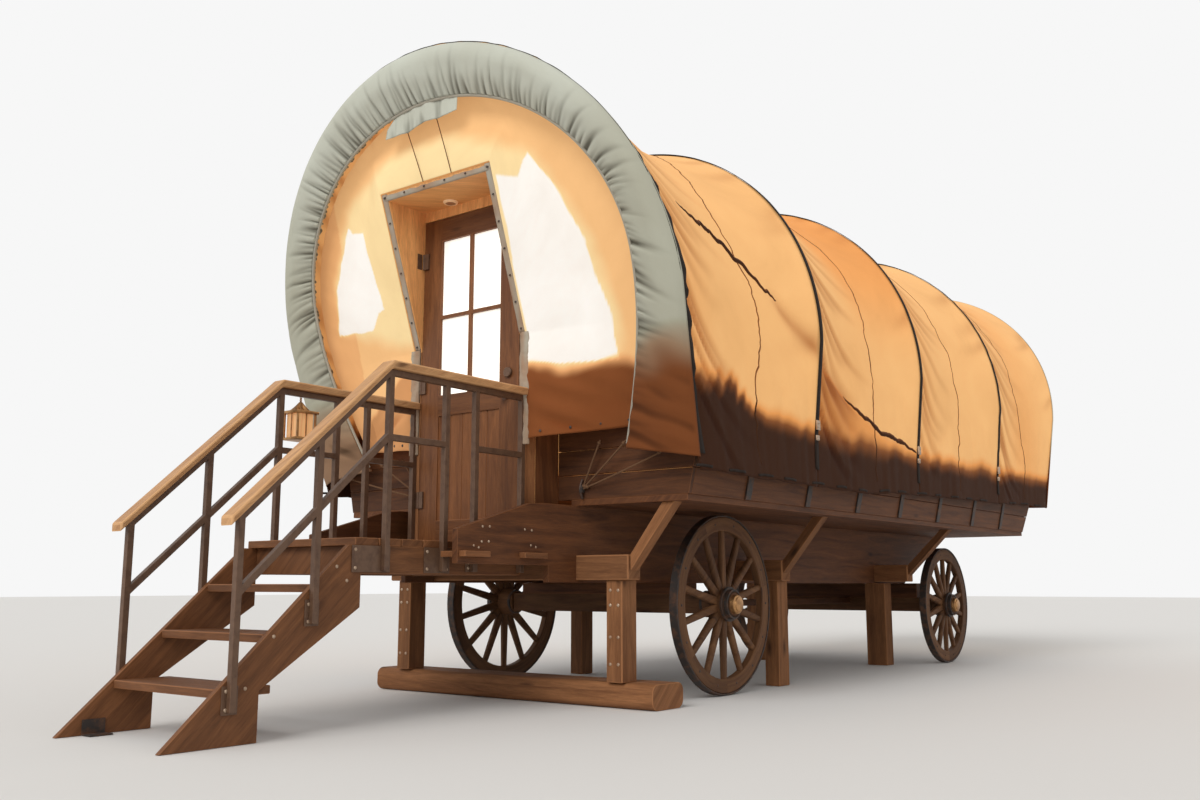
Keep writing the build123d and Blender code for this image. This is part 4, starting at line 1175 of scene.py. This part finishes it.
def makeHoods():
    for end, name in ((0, "rear"), (1, "front")):
        pleats = hoodPleats(hoodShape["seed"] + end)
        bm = clothGrid(hoodShape["columns"], hoodShape["rows"], hoodShape["cloth"],
                       lambda u, v: bandPlace(end, pleats, u, v))
        if end == 1:
            bmesh.ops.reverse_faces(bm, faces=bm.faces)
        piece = finishPiece(bm, f"hood_band_{name}", "hood_canvas", replaced=(f"hood_{name}",),
                            thick=hoodShape["thick"])

        bm = bmesh.new()  # rolled edge round the mouth
        points = []
        for number in range(rollShape["steps"] + 1):
            x, z = mouthRim(within(number / rollShape["steps"], rollShape["ends"]), rollShape["grow"])
            y = hoopPlane(0, z) + rollShape["back"] if end == 0 else hoopPlane(4, z) - rollShape["back"]
            points.append((x, y + ripple(rollShape["wave"], number, end), z))
        tubeAlong(bm, points, rollShape["radius"])
        finishPiece(bm, f"mouth_roll_{name}", "trim_canvas", materialSlot="hood_canvas")
    print("hood bands made")


# rear end canvas round the door housing

panelShape = {
    "cheek": 0.464, "top": 3.075, "knee": 2.12, "foot": 1.50, "columns": 420, "rows": 84, "thick": 0.003,
    "cloth": (5.2, 0.85), "ends": 0.02, "past": 0.05, "off": 0.012, "slopeRun": 0.9,
    # waves of the cloth: round the housing, near the band, and the swags below the bright part
    "pulls": (0.006, 26, 1.6, 4), "gathers": (0.005, 70, 2, 8), "gatherRange": (0.6, 1.0),
    "swags": (0.022, 2.2, 1, 3), "swagSlant": (13, 4), "swagRange": (1.65, 2.0), "swagFrom": 0.08,
    "swagShade": 0.45, "swagDark": (0.003, 0.014), "pullShade": 0.16, "pullDark": (0.001, 0.006),
    # outlines of the two brightest patches of painted lamplight and of the paler lit part, and the height of
    # the unlit foot, painted dark
    "hot": (((0.481, 3.0), (0.609, 2.98), (0.685, 3.11), (0.835, 2.90), (0.976, 2.57), (1.043, 2.18),
             (1.075, 1.90), (0.462, 1.93)),
            ((-0.942, 3.01), (-0.89, 2.95), (-0.757, 2.93), (-0.664, 2.415), (-0.735, 2.40), (-0.834, 2.30),
             (-1.245, 2.33), (-1.177, 2.63))),
    "paleGlow": ((0.163, 3.335), (-0.40, 3.33), (-0.936, 3.10), (-1.20, 2.70), (-1.24, 2.33), (-0.85, 2.22),
              (-0.40, 2.10), (0.0, 1.9), (1.09, 1.86), (1.12, 2.07), (1.044, 2.56), (0.737, 3.11)),
    "skirts": ((-1.3, 1.50), (-1.0, 1.78), (-0.47, 1.98), (0.47, 1.90), (1.3, 1.875)),
    "ragged": ((0.010, 9, 9, 1), (0.012, 3, 3, 5)), "skirtRange": (-0.03, 0.05), "paleGlowRange": (-0.03, 0.09),
    "hotRange": (-0.010, 0.014), "paleGlowTone": 0.80, "rimGlow": 0.60, "farGlow": 0.46, "farRim": -1.05,
    "leastLit": 0.45, "litSide": (-0.40, -0.50),
}
frontShape = {
    "low": 1.62, "past": 0.03, "columns": 160, "rows": 110, "cloth": (2.7, 1.95), "merge": 0.0002,
    "puff": 0.03, "puffEdge": 3, "middle": 2.2, "pull": (1, 9, 1.5, 2), "pullHeight": 0.008,
    "pullRange": (0.1, 0.6), "swags": (0.006, 2, 9, 7), "litEdge": (1.66, 1.78), "litWave": (0.03, 6, 1, 3),
    "shade": 0.25, "shadeDark": (0.05, 0.5), "shadeRange": (0.3, 0.9), "glow": 0.84, "spotFade": 0.30,
    "spot": (0.95, 0.75), "spotMiddle": 2.45, "spotRange": (0.75, 1.15),
}


def insideOf(x, z, corners):
    # distance inside an outline, negative outside it
    inside, nearest = False, 9.0
    for (x0, z0), (x1, z1) in zip(corners, corners[1:] + corners[:1]):
        if (z0 > z) != (z1 > z) and x < (x1 - x0) * (z - z0) / (z1 - z0) + x0:
            inside = not inside
        run = (x1 - x0) ** 2 + (z1 - z0) ** 2
        share = min(1.0, max(0.0, ((x - x0) * (x1 - x0) + (z - z0) * (z1 - z0)) / run))
        nearest = min(nearest, math.hypot(x - x0 - share * (x1 - x0), z - z0 - share * (z1 - z0)))
    return nearest if inside else -nearest


def housingEdge(share):
    # outline of the housing that the canvas is fixed to, as x and z
    side, top = panelShape["top"] - panelShape["foot"], 2 * panelShape["cheek"]
    way = share * (2 * side + top)
    if way < side:
        return panelShape["cheek"], panelShape["foot"] + way
    if way < side + top:
        return panelShape["cheek"] - (way - side), panelShape["top"]
    return -panelShape["cheek"], panelShape["top"] - (way - side - top)


def housingFace(z):
    lean = (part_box("door_housing")[0].y - doorFace) / (panelShape["top"] - panelShape["knee"])
    return doorFace + min(0.0, lean * (z - panelShape["knee"]))


# painted lamplight from inside: hot white patches, a paler lit part, dimmer near the rim, a least glow low on
# the left, and the unlit foot painted dark
def panelGlow(x, z):
    ragged = sum(ripple(layer, x, z) for layer in panelShape["ragged"])
    skirt = between(x, panelShape["skirts"])
    low, high = panelShape["skirtRange"]
    lit = smooth(z + 3 * ragged, skirt + low, skirt + high)
    lit = max(lit, panelShape["leastLit"] * smooth(x, *panelShape["litSide"]))
    paleGlow = smooth(insideOf(x, z, panelShape["paleGlow"]) + 2 * ragged, *panelShape["paleGlowRange"])
    hot = max(smooth(insideOf(x, z, corners) + ragged, *panelShape["hotRange"])
              for corners in panelShape["hot"])
    rim = panelShape["farGlow" if x < panelShape["farRim"] else "rimGlow"]
    return lit * max(rim + (panelShape["paleGlowTone"] - rim) * paleGlow, hot)


def panelPlace(share, across):
    # across runs from the housing (0) to just behind the band (1)
    xIn, zIn = housingEdge(share)
    xOut, zOut = mouthRim(within(share, panelShape["ends"]), panelShape["past"])
    x, z = xIn + (xOut - xIn) * across, zIn + (zOut - zIn) * across
    near = housingFace(z) - panelShape["off"]
    far = hoopPlane(0, z) + hoodShape["recess"]
    y = near + (far - near) * smooth(across, 0.0, panelShape["slopeRun"])
    strain = ripple(panelShape["pulls"], share, across) * (1 - abs(2 * across - 1))
    strain += ripple(panelShape["gathers"], share, across) * smooth(across, *panelShape["gatherRange"])
    skirt = 1 - smooth(z, *panelShape["swagRange"])
    up, over = panelShape["swagSlant"]
    swag = ripple(panelShape["swags"], x, z * up + abs(x) * over) * skirt
    swag *= math.sin(math.pi * min(1, across + panelShape["swagFrom"]))
    # painted shade in the hollows of the swags and pulls
    shade = panelShape["swagShade"] * smooth(swag + strain, *panelShape["swagDark"]) * skirt
    shade += panelShape["pullShade"] * smooth(strain, *panelShape["pullDark"])
    return Vector((x, y + strain + swag, z)), shade, panelGlow(x, z)


def frontPanelPlace(u, v):
    # the closed front end: a sheet inside the front mouth, down to the box's rim, with painted lamplight from
    # inside, brighter in a middle spot, and painted shade in its pulls
    mouthHalf, spring, past = hoodShape["mouthHalf"], hoodShape["mouthSpring"], frontShape["past"]
    low, top = frontShape["low"], spring + hoodShape["mouthRise"] + past
    z = low + (top - low) * math.sin(v * math.pi / 2)
    over = max(0.0, (z - spring) / (top - spring))
    below = max(0.0, (spring - z) / (spring - hoodShape["mouthHem"]))
    half = (mouthHalf + past) * math.sqrt(max(0.0, 1 - over * over))
    half -= (mouthHalf - hoodShape["mouthFoot"]) * (1 - math.sqrt(1 - min(1, below) ** 2))
    x = (2 * u - 1) * half
    edge = 1 - abs(2 * u - 1)
    out = math.hypot(x, z - frontShape["middle"])
    pull = ripple(frontShape["pull"], math.atan2(x, z - frontShape["middle"]), edge)
    y = hoopPlane(4, z) - hoodShape["recess"]
    y += frontShape["puff"] * min(1, edge * frontShape["puffEdge"]) * math.sin(v * math.pi)
    y += frontShape["pullHeight"] * pull * smooth(out, *frontShape["pullRange"])
    y += ripple(frontShape["swags"], x, z) * (1 - v)
    # painted lamplight from inside, brighter in a spot, and painted shade in the pulls
    wide, high = frontShape["spot"]
    spot = math.hypot(x / wide, (z - frontShape["spotMiddle"]) / high)
    lit = smooth(z + ripple(frontShape["litWave"], x), *frontShape["litEdge"])
    lit *= frontShape["glow"] - frontShape["spotFade"] * smooth(spot, *frontShape["spotRange"])
    shade = frontShape["shade"] * smooth(-pull, *frontShape["shadeDark"])
    shade *= smooth(out, *frontShape["shadeRange"])
    return Vector((x, y, z)), shade, lit


def makeEndCanvas():
    bm = clothGrid(panelShape["columns"], panelShape["rows"], panelShape["cloth"], panelPlace)
    bmesh.ops.reverse_faces(bm, faces=bm.faces)
    piece = finishPiece(bm, "rear_end_canvas", "end_canvas", replaced=("end_canvas_rear",),
                        materialSlot="canvas", thick=panelShape["thick"])

    bm = clothGrid(frontShape["columns"], frontShape["rows"], frontShape["cloth"], frontPanelPlace)
    bmesh.ops.remove_doubles(bm, verts=bm.verts, dist=frontShape["merge"])
    bmesh.ops.reverse_faces(bm, faces=bm.faces)
    piece = finishPiece(bm, "front_end_canvas", "end_canvas", replaced=("end_canvas_front",),
                        materialSlot="canvas", thick=panelShape["thick"])
    print("end canvas made")


# trim, flaps, cords, ropes and snaps at the door end

trimShape = {
    "wide": 0.043, "thick": 0.003, "columns": 4, "rows": 60, "edge": 0.4375, "low": 2.13, "high": 3.05,
    "over": (0.022, 0.02), "uneven": (0.06, 14, 1, 0), "off": 0.006, "puff": (0.002, 22, 2, 0), "shade": 0.3,
    "tone": 0.35, "mottle": (0.5, 6, 1, 4),
}


def trimGrid(ends, seed):
    # a flat strip from one end to the other, given as x and z on the housing's face
    (x0, z0), (x1, z1) = ends
    run = Vector((x1 - x0, 0, z1 - z0))
    side = Vector((run.z, 0, -run.x)).normalized()
    puffHeight = trimShape["puff"][0]

    def place(u, v):
        x, z = x0 + run.x * v, z0 + run.z * v
        wide = trimShape["wide"] * (1 + ripple(trimShape["uneven"], v, seed))
        point = Vector((x, 0, z)) + side * (u - 0.5) * wide
        puff = ripple(trimShape["puff"], v, u, seed)
        point.y = housingFace(min(z, point.z)) - trimShape["off"] - puff
        # painted shade where the strip sinks back
        shade = trimShape["shade"] * smooth(-puff, 0.0, puffHeight)
        return point, shade, trimShape["tone"] + ripple(trimShape["mottle"], v, u, seed)
    return clothGrid(trimShape["columns"], trimShape["rows"], (trimShape["wide"], run.length), place)


snapShape = {
    "radius": 0.0075, "pitch": 0.17, "ends": 0.15, "off": 0.009, "out": (0, -1, 0.3), "height": 0.6,
    "hem": (0.56, 0.70, 0.84, 0.98, 1.12), "hemEnds": 0.004, "hemLift": (0, -0.002, 0.014), "hemSize": 1.2,
}


def makeTrim():
    edge, low, high = [trimShape[key] for key in ("edge", "low", "high")]
    past, above = trimShape["over"]
    strips = [((edge, low), (edge, high + above)), ((-edge, high + above), (-edge, low)),
              ((-edge - past, high), (edge + past, high))]
    grids = [trimGrid(ends, seed) for seed, ends in enumerate(strips)]
    for grid in grids:
        for face in grid.faces:
            face.normal_update()
        bmesh.ops.reverse_faces(grid, faces=[face for face in grid.faces if face.normal.y > 0])
    finishPiece(joined(grids), "housing_trim", "trim_canvas", thick=trimShape["thick"],
                materialSlot="hood_canvas")

    bm = bmesh.new()  # snaps along the trim, then along the canvas's foot
    radius = snapShape["radius"]
    for (x0, z0), (x1, z1) in strips:
        count = round(math.hypot(x1 - x0, z1 - z0) / snapShape["pitch"])
        for number in range(count + 1):
            share = (number + snapShape["ends"]) / (count + 2 * snapShape["ends"])
            x, z = x0 + (x1 - x0) * share, z0 + (z1 - z0) * share
            place = (x, housingFace(z) - snapShape["off"], z)
            roundHead(bm, place, snapShape["out"], radius, snapShape["height"])
    cheek, ends = panelShape["cheek"], snapShape["hemEnds"]
    reach = hoodShape["mouthFoot"] + panelShape["past"] - cheek
    for end in (ends, 1 - ends):
        for x in snapShape["hem"]:
            place = panelPlace(end, (x - cheek) / reach)[0] + Vector(snapShape["hemLift"])
            roundHead(bm, place, (0, -1, 0), radius * snapShape["hemSize"])
    finishPiece(bm, "canvas_snaps", "iron")
    print("trim and snaps made")


flapShape = {
    # the loose ends of the canvas, rolled beside the door posts
    "top": 2.13, "low": 1.47, "x": 0.417, "wide": 0.081, "sway": (0.004, 9, 1, 1), "off": 0.006,
    "round": 0.016, "folds": ((0.006, 3, 16, 1), (0.004, 7, 40, 2)), "shade": 0.6, "dark": 0.008, "tone": 0.5,
    "mottle": (0.6, 7, 2, 3), "columns": 10, "rows": 110, "cloth": (0.085, 0.66), "thick": 0.002,
}
crownShape = {
    # the flap at the crown of the rear mouth, and the two cords from it to the housing
    "left": -0.332, "wide": 0.622, "off": 0.012, "lean": 0.03, "shade": 0.5, "dark": (0.001, 0.007),
    "top": ((-0.332, 3.435), (-0.224, 3.50), (-0.09, 3.515), (0.12, 3.51), (0.28, 3.49)),
    "low": ((-0.332, 3.372), (-0.13, 3.370), (0.007, 3.398), (0.132, 3.39), (0.29, 3.397)),
    "waves": ((0.010, 11, 4, 6), (0.004, 40, 9, 2)), "columns": 60, "rows": 12, "cloth": (0.64, 0.12),
    "cords": (((-0.156, 3.395), (-0.076, 3.07)), ((0.10, 3.41), (0.162, 3.07))),
    "cordRadius": 0.0028, "cordBow": 0.004, "cordOff": (0.01, 0.018),
}


def makeFlaps():
    def rolled(u, v):
        z = flapShape["top"] + (flapShape["low"] - flapShape["top"]) * v
        bulge = sum(ripple(layer, u, z) for layer in flapShape["folds"])
        bulge += flapShape["round"] * math.sin(math.pi * u)
        x = flapShape["x"] + flapShape["wide"] * u + ripple(flapShape["sway"], z)
        # painted shade where the roll's bulge is low
        shade = flapShape["shade"] * smooth(flapShape["dark"] - bulge, 0.0, flapShape["dark"])
        tone = flapShape["tone"] + ripple(flapShape["mottle"], z, u)
        return Vector((x, doorFace - flapShape["off"] - max(0.0, bulge), z)), shade, tone
    for side, name in ((1, "right"), (-1, "left")):
        bm = clothGrid(flapShape["columns"], flapShape["rows"], flapShape["cloth"], rolled)
        if side < 0:
            bmesh.ops.scale(bm, vec=(-1, 1, 1), verts=bm.verts)
        else:
            bmesh.ops.reverse_faces(bm, faces=bm.faces)
        piece = finishPiece(bm, f"door_flap_{name}", "trim_canvas", thick=flapShape["thick"],
                            materialSlot="hood_canvas")

    def flap(u, v):
        x = crownShape["left"] + crownShape["wide"] * u
        top, low = between(x, crownShape["top"]), between(x, crownShape["low"])
        z = low + (top - low) * v
        wave = sum(ripple(layer, x, z) for layer in crownShape["waves"])
        y = hoopPlane(0, z) - crownShape["off"] + wave + crownShape["lean"] * v
        # painted shade where the flap's waves sink back
        return Vector((x, y, z)), crownShape["shade"] * smooth(wave, *crownShape["dark"]), 0.0
    bm = clothGrid(crownShape["columns"], crownShape["rows"], crownShape["cloth"], flap)
    piece = finishPiece(bm, "crown_flap", "hood_canvas", thick=flapShape["thick"])

    bm = bmesh.new()
    behind, before = crownShape["cordOff"]
    for (x0, z0), (x1, z1) in crownShape["cords"]:
        first = Vector((x0, hoopPlane(0, z0) + behind, z0))
        last = Vector((x1, housingFace(z1) - before, z1))
        middle = (first + last) / 2 + Vector((crownShape["cordBow"], 0, 0))
        tubeAlong(bm, [first, middle, last], crownShape["cordRadius"])
    finishPiece(bm, "crown_ties", "seam_tape", materialSlot="strap")
    print("flaps and cords made")


ropeShape = {
    "cleat": (0.654, 0.288, 1.224),
    "ends": ((0.824, 0.235, 1.492), (1.023, 0.215, 1.474), (1.306, 0.175, 1.395)),
    "sag": (0.006, 0.004), "out": 0.004, "radius": 0.0055, "knots": (0.06, 0.94), "knot": 0.011,
    # the cleat's bent horn, and the two corners of its block
    "horn": ((0, 0, 0.055), (0, -0.022, 0.02), (0, -0.022, -0.02), (0, 0, -0.055)), "hornRadius": 0.007,
    "block": ((-0.011, -0.018, -0.02), (0.011, 0.011, 0.02)), "ease": 0.003,
}


def makeTies():
    # taut ropes from a cleat on the rear wall up to the canvas hem, with a knot at each end
    bm = bmesh.new()
    iron = bmesh.new()
    sag, more = ropeShape["sag"]
    for side in (1, -1):
        cleat = Vector(ropeShape["cleat"]) + Vector((0, doorFace, 0))
        cleat.x *= side
        for number, (x, y, z) in enumerate(ropeShape["ends"]):
            end = Vector((side * x, y + doorFace, z))
            middle = (cleat + end) / 2 - Vector((0, ropeShape["out"], sag + more * number))
            tubeAlong(bm, [cleat, middle, end], ropeShape["radius"])
            for share in ropeShape["knots"]:
                bmesh.ops.create_icosphere(bm, subdivisions=2, radius=ropeShape["knot"],
                                           matrix=Matrix.Translation(cleat.lerp(end, share)))
        tubeAlong(iron, [cleat + Vector(point) for point in ropeShape["horn"]], ropeShape["hornRadius"])
        easedBox(iron, *[cleat + Vector(corner) for corner in ropeShape["block"]], ropeShape["ease"])
    finishPiece(bm, "hem_ties", "rope", materialSlot="strap")
    finishPiece(iron, "tie_cleats", "iron")
    print("ties made")


# wheels

wheelShape = {
    "centre": 0.927, "felloe": (0.052, 0.088), "felloeEase": 0.006, "tyre": (0.060, 0.010), "tyreEase": 0.003,
    "inTyre": 0.0005, "spokes": 14, "spokeFoot": (0.044, 0.052), "spokeTip": (0.034, 0.040),
    "spokeRoot": 0.080, "spokeEase": 0.013, "tenon": 0.012,
    "nave": ((-0.130, 0.0312), (-0.130, 0.070), (-0.126, 0.074), (-0.095, 0.086), (-0.060, 0.096),
             (-0.010, 0.0975), (0.040, 0.096), (0.070, 0.088), (0.090, 0.080), (0.090, 0.0312)),
    "bands": ((-0.122, 0.084, 0.022), (0.044, 0.108, 0.016), (0.062, 0.092, 0.028)),
    "bandDeep": 0.020, "bandEase": 0.002, "rivet": 0.008,
    "cap": ((0.090, 0.050), (0.090, 0.062), (0.114, 0.059), (0.119, 0.054), (0.121, 0.047),
            (0.126, 0.045), (0.128, 0.040), (0.128, 0.0)),
    "wheels": (("rear_left", -1, 1.363, 0.557), ("rear_right", 1, 1.363, 0.557),
               ("front_left", -1, 5.138, 0.501), ("front_right", 1, 5.138, 0.501)),
    "felloes": 7, "rimSteps": 84, "naveSteps": 40,
    "tones": 40, "felloeShift": 3.1, "naveRadius": 0.09, "spokeTones": 10,  # for the grain
}


def polarGrain(bm, centre, kindLayer, seed):
    # grain round the felloes (kind 1), along the nave (2) and along each spoke (3 and up)
    dice = random.Random(seed)
    uvLayer = bm.loops.layers.uv.new("grain")
    boardLayer = bm.faces.layers.float.new("board")
    tones = [dice.random() for _ in range(wheelShape["tones"])]
    full = 2 * math.pi
    for face in bm.faces:
        kind = face[kindLayer]
        middle = face.calc_center_median() - centre
        turn = math.atan2(middle.y, middle.z) + math.pi
        felloe = int(turn / full * wheelShape["felloes"])
        part = felloe if kind == 1 else kind + wheelShape["spokeTones"]
        face[boardLayer] = tones[part % len(tones)]
        for loop in face.loops:
            point = loop.vert.co - centre
            radius = math.hypot(point.y, point.z)
            angle = turn + (math.atan2(point.y, point.z) - turn) % full - math.pi
            if kind == 1:
                loop[uvLayer].uv = (angle * radius + part * wheelShape["felloeShift"], radius + point.x)
            elif kind == 2:
                loop[uvLayer].uv = (point.x + radius, angle * wheelShape["naveRadius"])
            else:
                spin = full * (kind - 3) / wheelShape["spokes"]
                across = point.y * math.cos(spin) - point.z * math.sin(spin)
                loop[uvLayer].uv = (radius + kind, point.x + across)


def ringRows(inner, outer, low, high, ease):
    return ((low + ease, inner), (high - ease, inner), (high, inner + ease), (high, outer - ease),
            (high - ease, outer), (low + ease, outer), (low, outer - ease), (low, inner + ease))


def wheelWood(name, centre, matrix, rim):
    half, depth = wheelShape["felloe"][0] / 2, wheelShape["felloe"][1]
    bm = bmesh.new()
    kindLayer = bm.faces.layers.int.new("kind")

    def markNew(kind):
        for face in bm.faces:
            if face[kindLayer] == 0:
                face[kindLayer] = kind
    rows = ringRows(rim - depth, rim - wheelShape["inTyre"], -half, half, wheelShape["felloeEase"])
    spun(bm, rows, matrix, wheelShape["rimSteps"], True)
    markNew(1)
    spun(bm, wheelShape["nave"], matrix, wheelShape["naveSteps"], True)
    markNew(2)
    root, tip = wheelShape["spokeRoot"], rim - depth + wheelShape["tenon"]
    for number in range(wheelShape["spokes"]):
        made = bmesh.ops.create_cube(bm, size=1)
        for vert in made["verts"]:
            wide, deep = wheelShape["spokeFoot" if vert.co.z < 0 else "spokeTip"]
            vert.co = (vert.co.x * wide, vert.co.y * deep, root if vert.co.z < 0 else tip)
        long = [edge for edge in {edge for vert in made["verts"] for edge in vert.link_edges}
                if edge.verts[0].co.z != edge.verts[1].co.z]
        easeEdges(bm, long, wheelShape["spokeEase"], 3)
        corners = list({vert for face in bm.faces if face[kindLayer] == 0 for vert in face.verts})
        turn = Matrix.Rotation(2 * math.pi * number / wheelShape["spokes"], 4, "X")
        bmesh.ops.transform(bm, verts=corners, matrix=matrix @ turn)
        markNew(number + 3)
    bmesh.ops.recalc_face_normals(bm, faces=bm.faces)
    polarGrain(bm, centre, kindLayer, name)
    finishPiece(bm, f"{name}_wood", "wheel_wood", name, (f"{name}_wheel",))


def wheelIrons(name, side, matrix, radius):
    wide, thick = wheelShape["tyre"]
    rim, half = radius - thick, wheelShape["felloe"][0] / 2
    bm = bmesh.new()
    rows = ringRows(rim, radius, -wide / 2, wide / 2, wheelShape["tyreEase"])
    spun(bm, rows, matrix, wheelShape["rimSteps"], True)
    for x, band, width in wheelShape["bands"]:
        rows = ringRows(band - wheelShape["bandDeep"], band, x, x + width, wheelShape["bandEase"])
        spun(bm, rows, matrix, wheelShape["naveSteps"], True)
    for number in range(2 * wheelShape["felloes"]):
        turn = Matrix.Rotation(math.pi * (number + 0.5) / wheelShape["felloes"], 4, "X")
        place = matrix @ turn @ Vector((half, 0, rim - wheelShape["felloe"][1] * 0.5))
        roundHead(bm, place, (side, 0, 0), wheelShape["rivet"])
    bmesh.ops.recalc_face_normals(bm, faces=bm.faces)
    finishPiece(bm, f"{name}_tyre", "iron", name, (f"{name}_irons",))


def makeWheels():
    for name, side, y, radius in wheelShape["wheels"]:
        centre = Vector((side * wheelShape["centre"], doorFace + y, radius))
        matrix = Matrix.Translation(centre) @ Matrix.Diagonal((side, 1, 1, 1))
        wheelWood(name, centre, matrix, radius - wheelShape["tyre"][1])
        wheelIrons(name, side, matrix, radius)
        bm = bmesh.new()
        spun(bm, wheelShape["cap"], matrix, wheelShape["naveSteps"])
        bmesh.ops.recalc_face_normals(bm, faces=bm.faces)
        finishPiece(bm, f"{name}_cap", "brass", name, (f"{name}_hub_cap",))
    print("wheels made")


# lantern on the left rail

lanternShape = {
    "x": -0.448, "y": -0.880, "half": 0.065, "low": 1.475, "eaves": 1.635, "hook": 1.723, "post": 0.011,
    "base": (0.004, 0, 0.014), "brim": (0.009, -0.012, 0.004), "ease": 0.003, "postEase": 0.002,
    "bar": 0.003, "barIn": 0.008, "barEase": 0.001,
    "cap": (0.062, 0.010, 0.055), "capUp": 0.002, "capForm": 0.7,  # radius at its foot and its tip, height
    "ruffles": ((0.010, 9, 0), (0.004, 4, 1)), "capColumns": 96, "capRows": 10, "merge": 0.0002,
    "links": 4, "linkWide": 0.006, "linkHigh": 0.72, "linkSides": 12, "wire": 0.0022,
}


def lanternCap(middle):
    # ruffled cap that closes in to the hanging ring
    foot, tip, rise = lanternShape["cap"]
    bm = bmesh.new()
    columns, rows = lanternShape["capColumns"], lanternShape["capRows"]
    bmesh.ops.create_grid(bm, x_segments=columns, y_segments=rows, size=0.5)
    for vert in bm.verts:
        turn, share = 2 * math.pi * (vert.co.x + 0.5), vert.co.y + 0.5
        radius = foot + (tip - foot) * share ** lanternShape["capForm"]
        ruffle = sum(high * math.sin(count * turn + start) for high, count, start in lanternShape["ruffles"])
        radius += (1 - share) * ruffle
        z = lanternShape["eaves"] + lanternShape["capUp"] + rise * share
        vert.co = middle + Vector((radius * math.cos(turn), radius * math.sin(turn), z))
    bmesh.ops.remove_doubles(bm, verts=bm.verts, dist=lanternShape["merge"])
    bmesh.ops.recalc_face_normals(bm, faces=bm.faces)
    return bm


def makeLantern():
    middle = Vector((lanternShape["x"], lanternShape["y"] + doorFace, 0))
    half, low, eaves, post = [lanternShape[key] for key in ("half", "low", "eaves", "post")]
    place = Matrix.Translation(middle)
    bm = bmesh.new()
    for z, key in ((low, "base"), (eaves, "brim")):
        past, below, above = lanternShape[key]
        corner = half + past
        easedBox(bm, (-corner, -corner, z + below), (corner, corner, z + above), lanternShape["ease"], place)
    posts = [(i * (half - post / 2), j * (half - post / 2)) for i in (-1, 1) for j in (-1, 1)]
    inside = half - lanternShape["barIn"]  # a bar up the middle of each pane
    bars = [spot for i in (-1, 1) for spot in ((0, i * inside), (i * inside, 0))]
    for places, wide, ease in ((posts, post / 2, "postEase"), (bars, lanternShape["bar"], "barEase")):
        for x, y in places:
            easedBox(bm, (x - wide, y - wide, low), (x + wide, y + wide, eaves), lanternShape[ease], place)
    bm = joined([bm, lanternCap(middle)])
    z = eaves + lanternShape["cap"][2]
    links, sides = lanternShape["links"], lanternShape["linkSides"]
    step = (lanternShape["hook"] - z) / links
    wide, high = lanternShape["linkWide"], step * lanternShape["linkHigh"]
    for number in range(links):
        centre = Vector((0, 0, z + step * (number + 0.5)))
        turn = Matrix.Rotation(math.pi / 2 * (number % 2), 4, "Z")
        ring = [middle + centre + turn @ Vector((wide * math.cos(a), 0, high * math.sin(a)))
                for a in [2 * math.pi * i / sides for i in range(sides + 1)]]
        tubeAlong(bm, ring, lanternShape["wire"], False)
    finishPiece(bm, "lantern_body", "brass", replaced=("lantern_frame",))
    glass = nodes["lantern_glass"].data.materials
    glass.clear()
    glass.append(finishes["lamp"])
    print("lantern made")


makeCamera()
makeStage()
makeFinishes()
makeTimberWork()
makeBolts()
makeCover()
makeSeams()
makeTucks()
makeStraps()
makeHemLace()
makeRimShadeStrip()
makeHoods()
makeEndCanvas()
makeTrim()
makeFlaps()
makeTies()
makeWheels()
makeLantern()
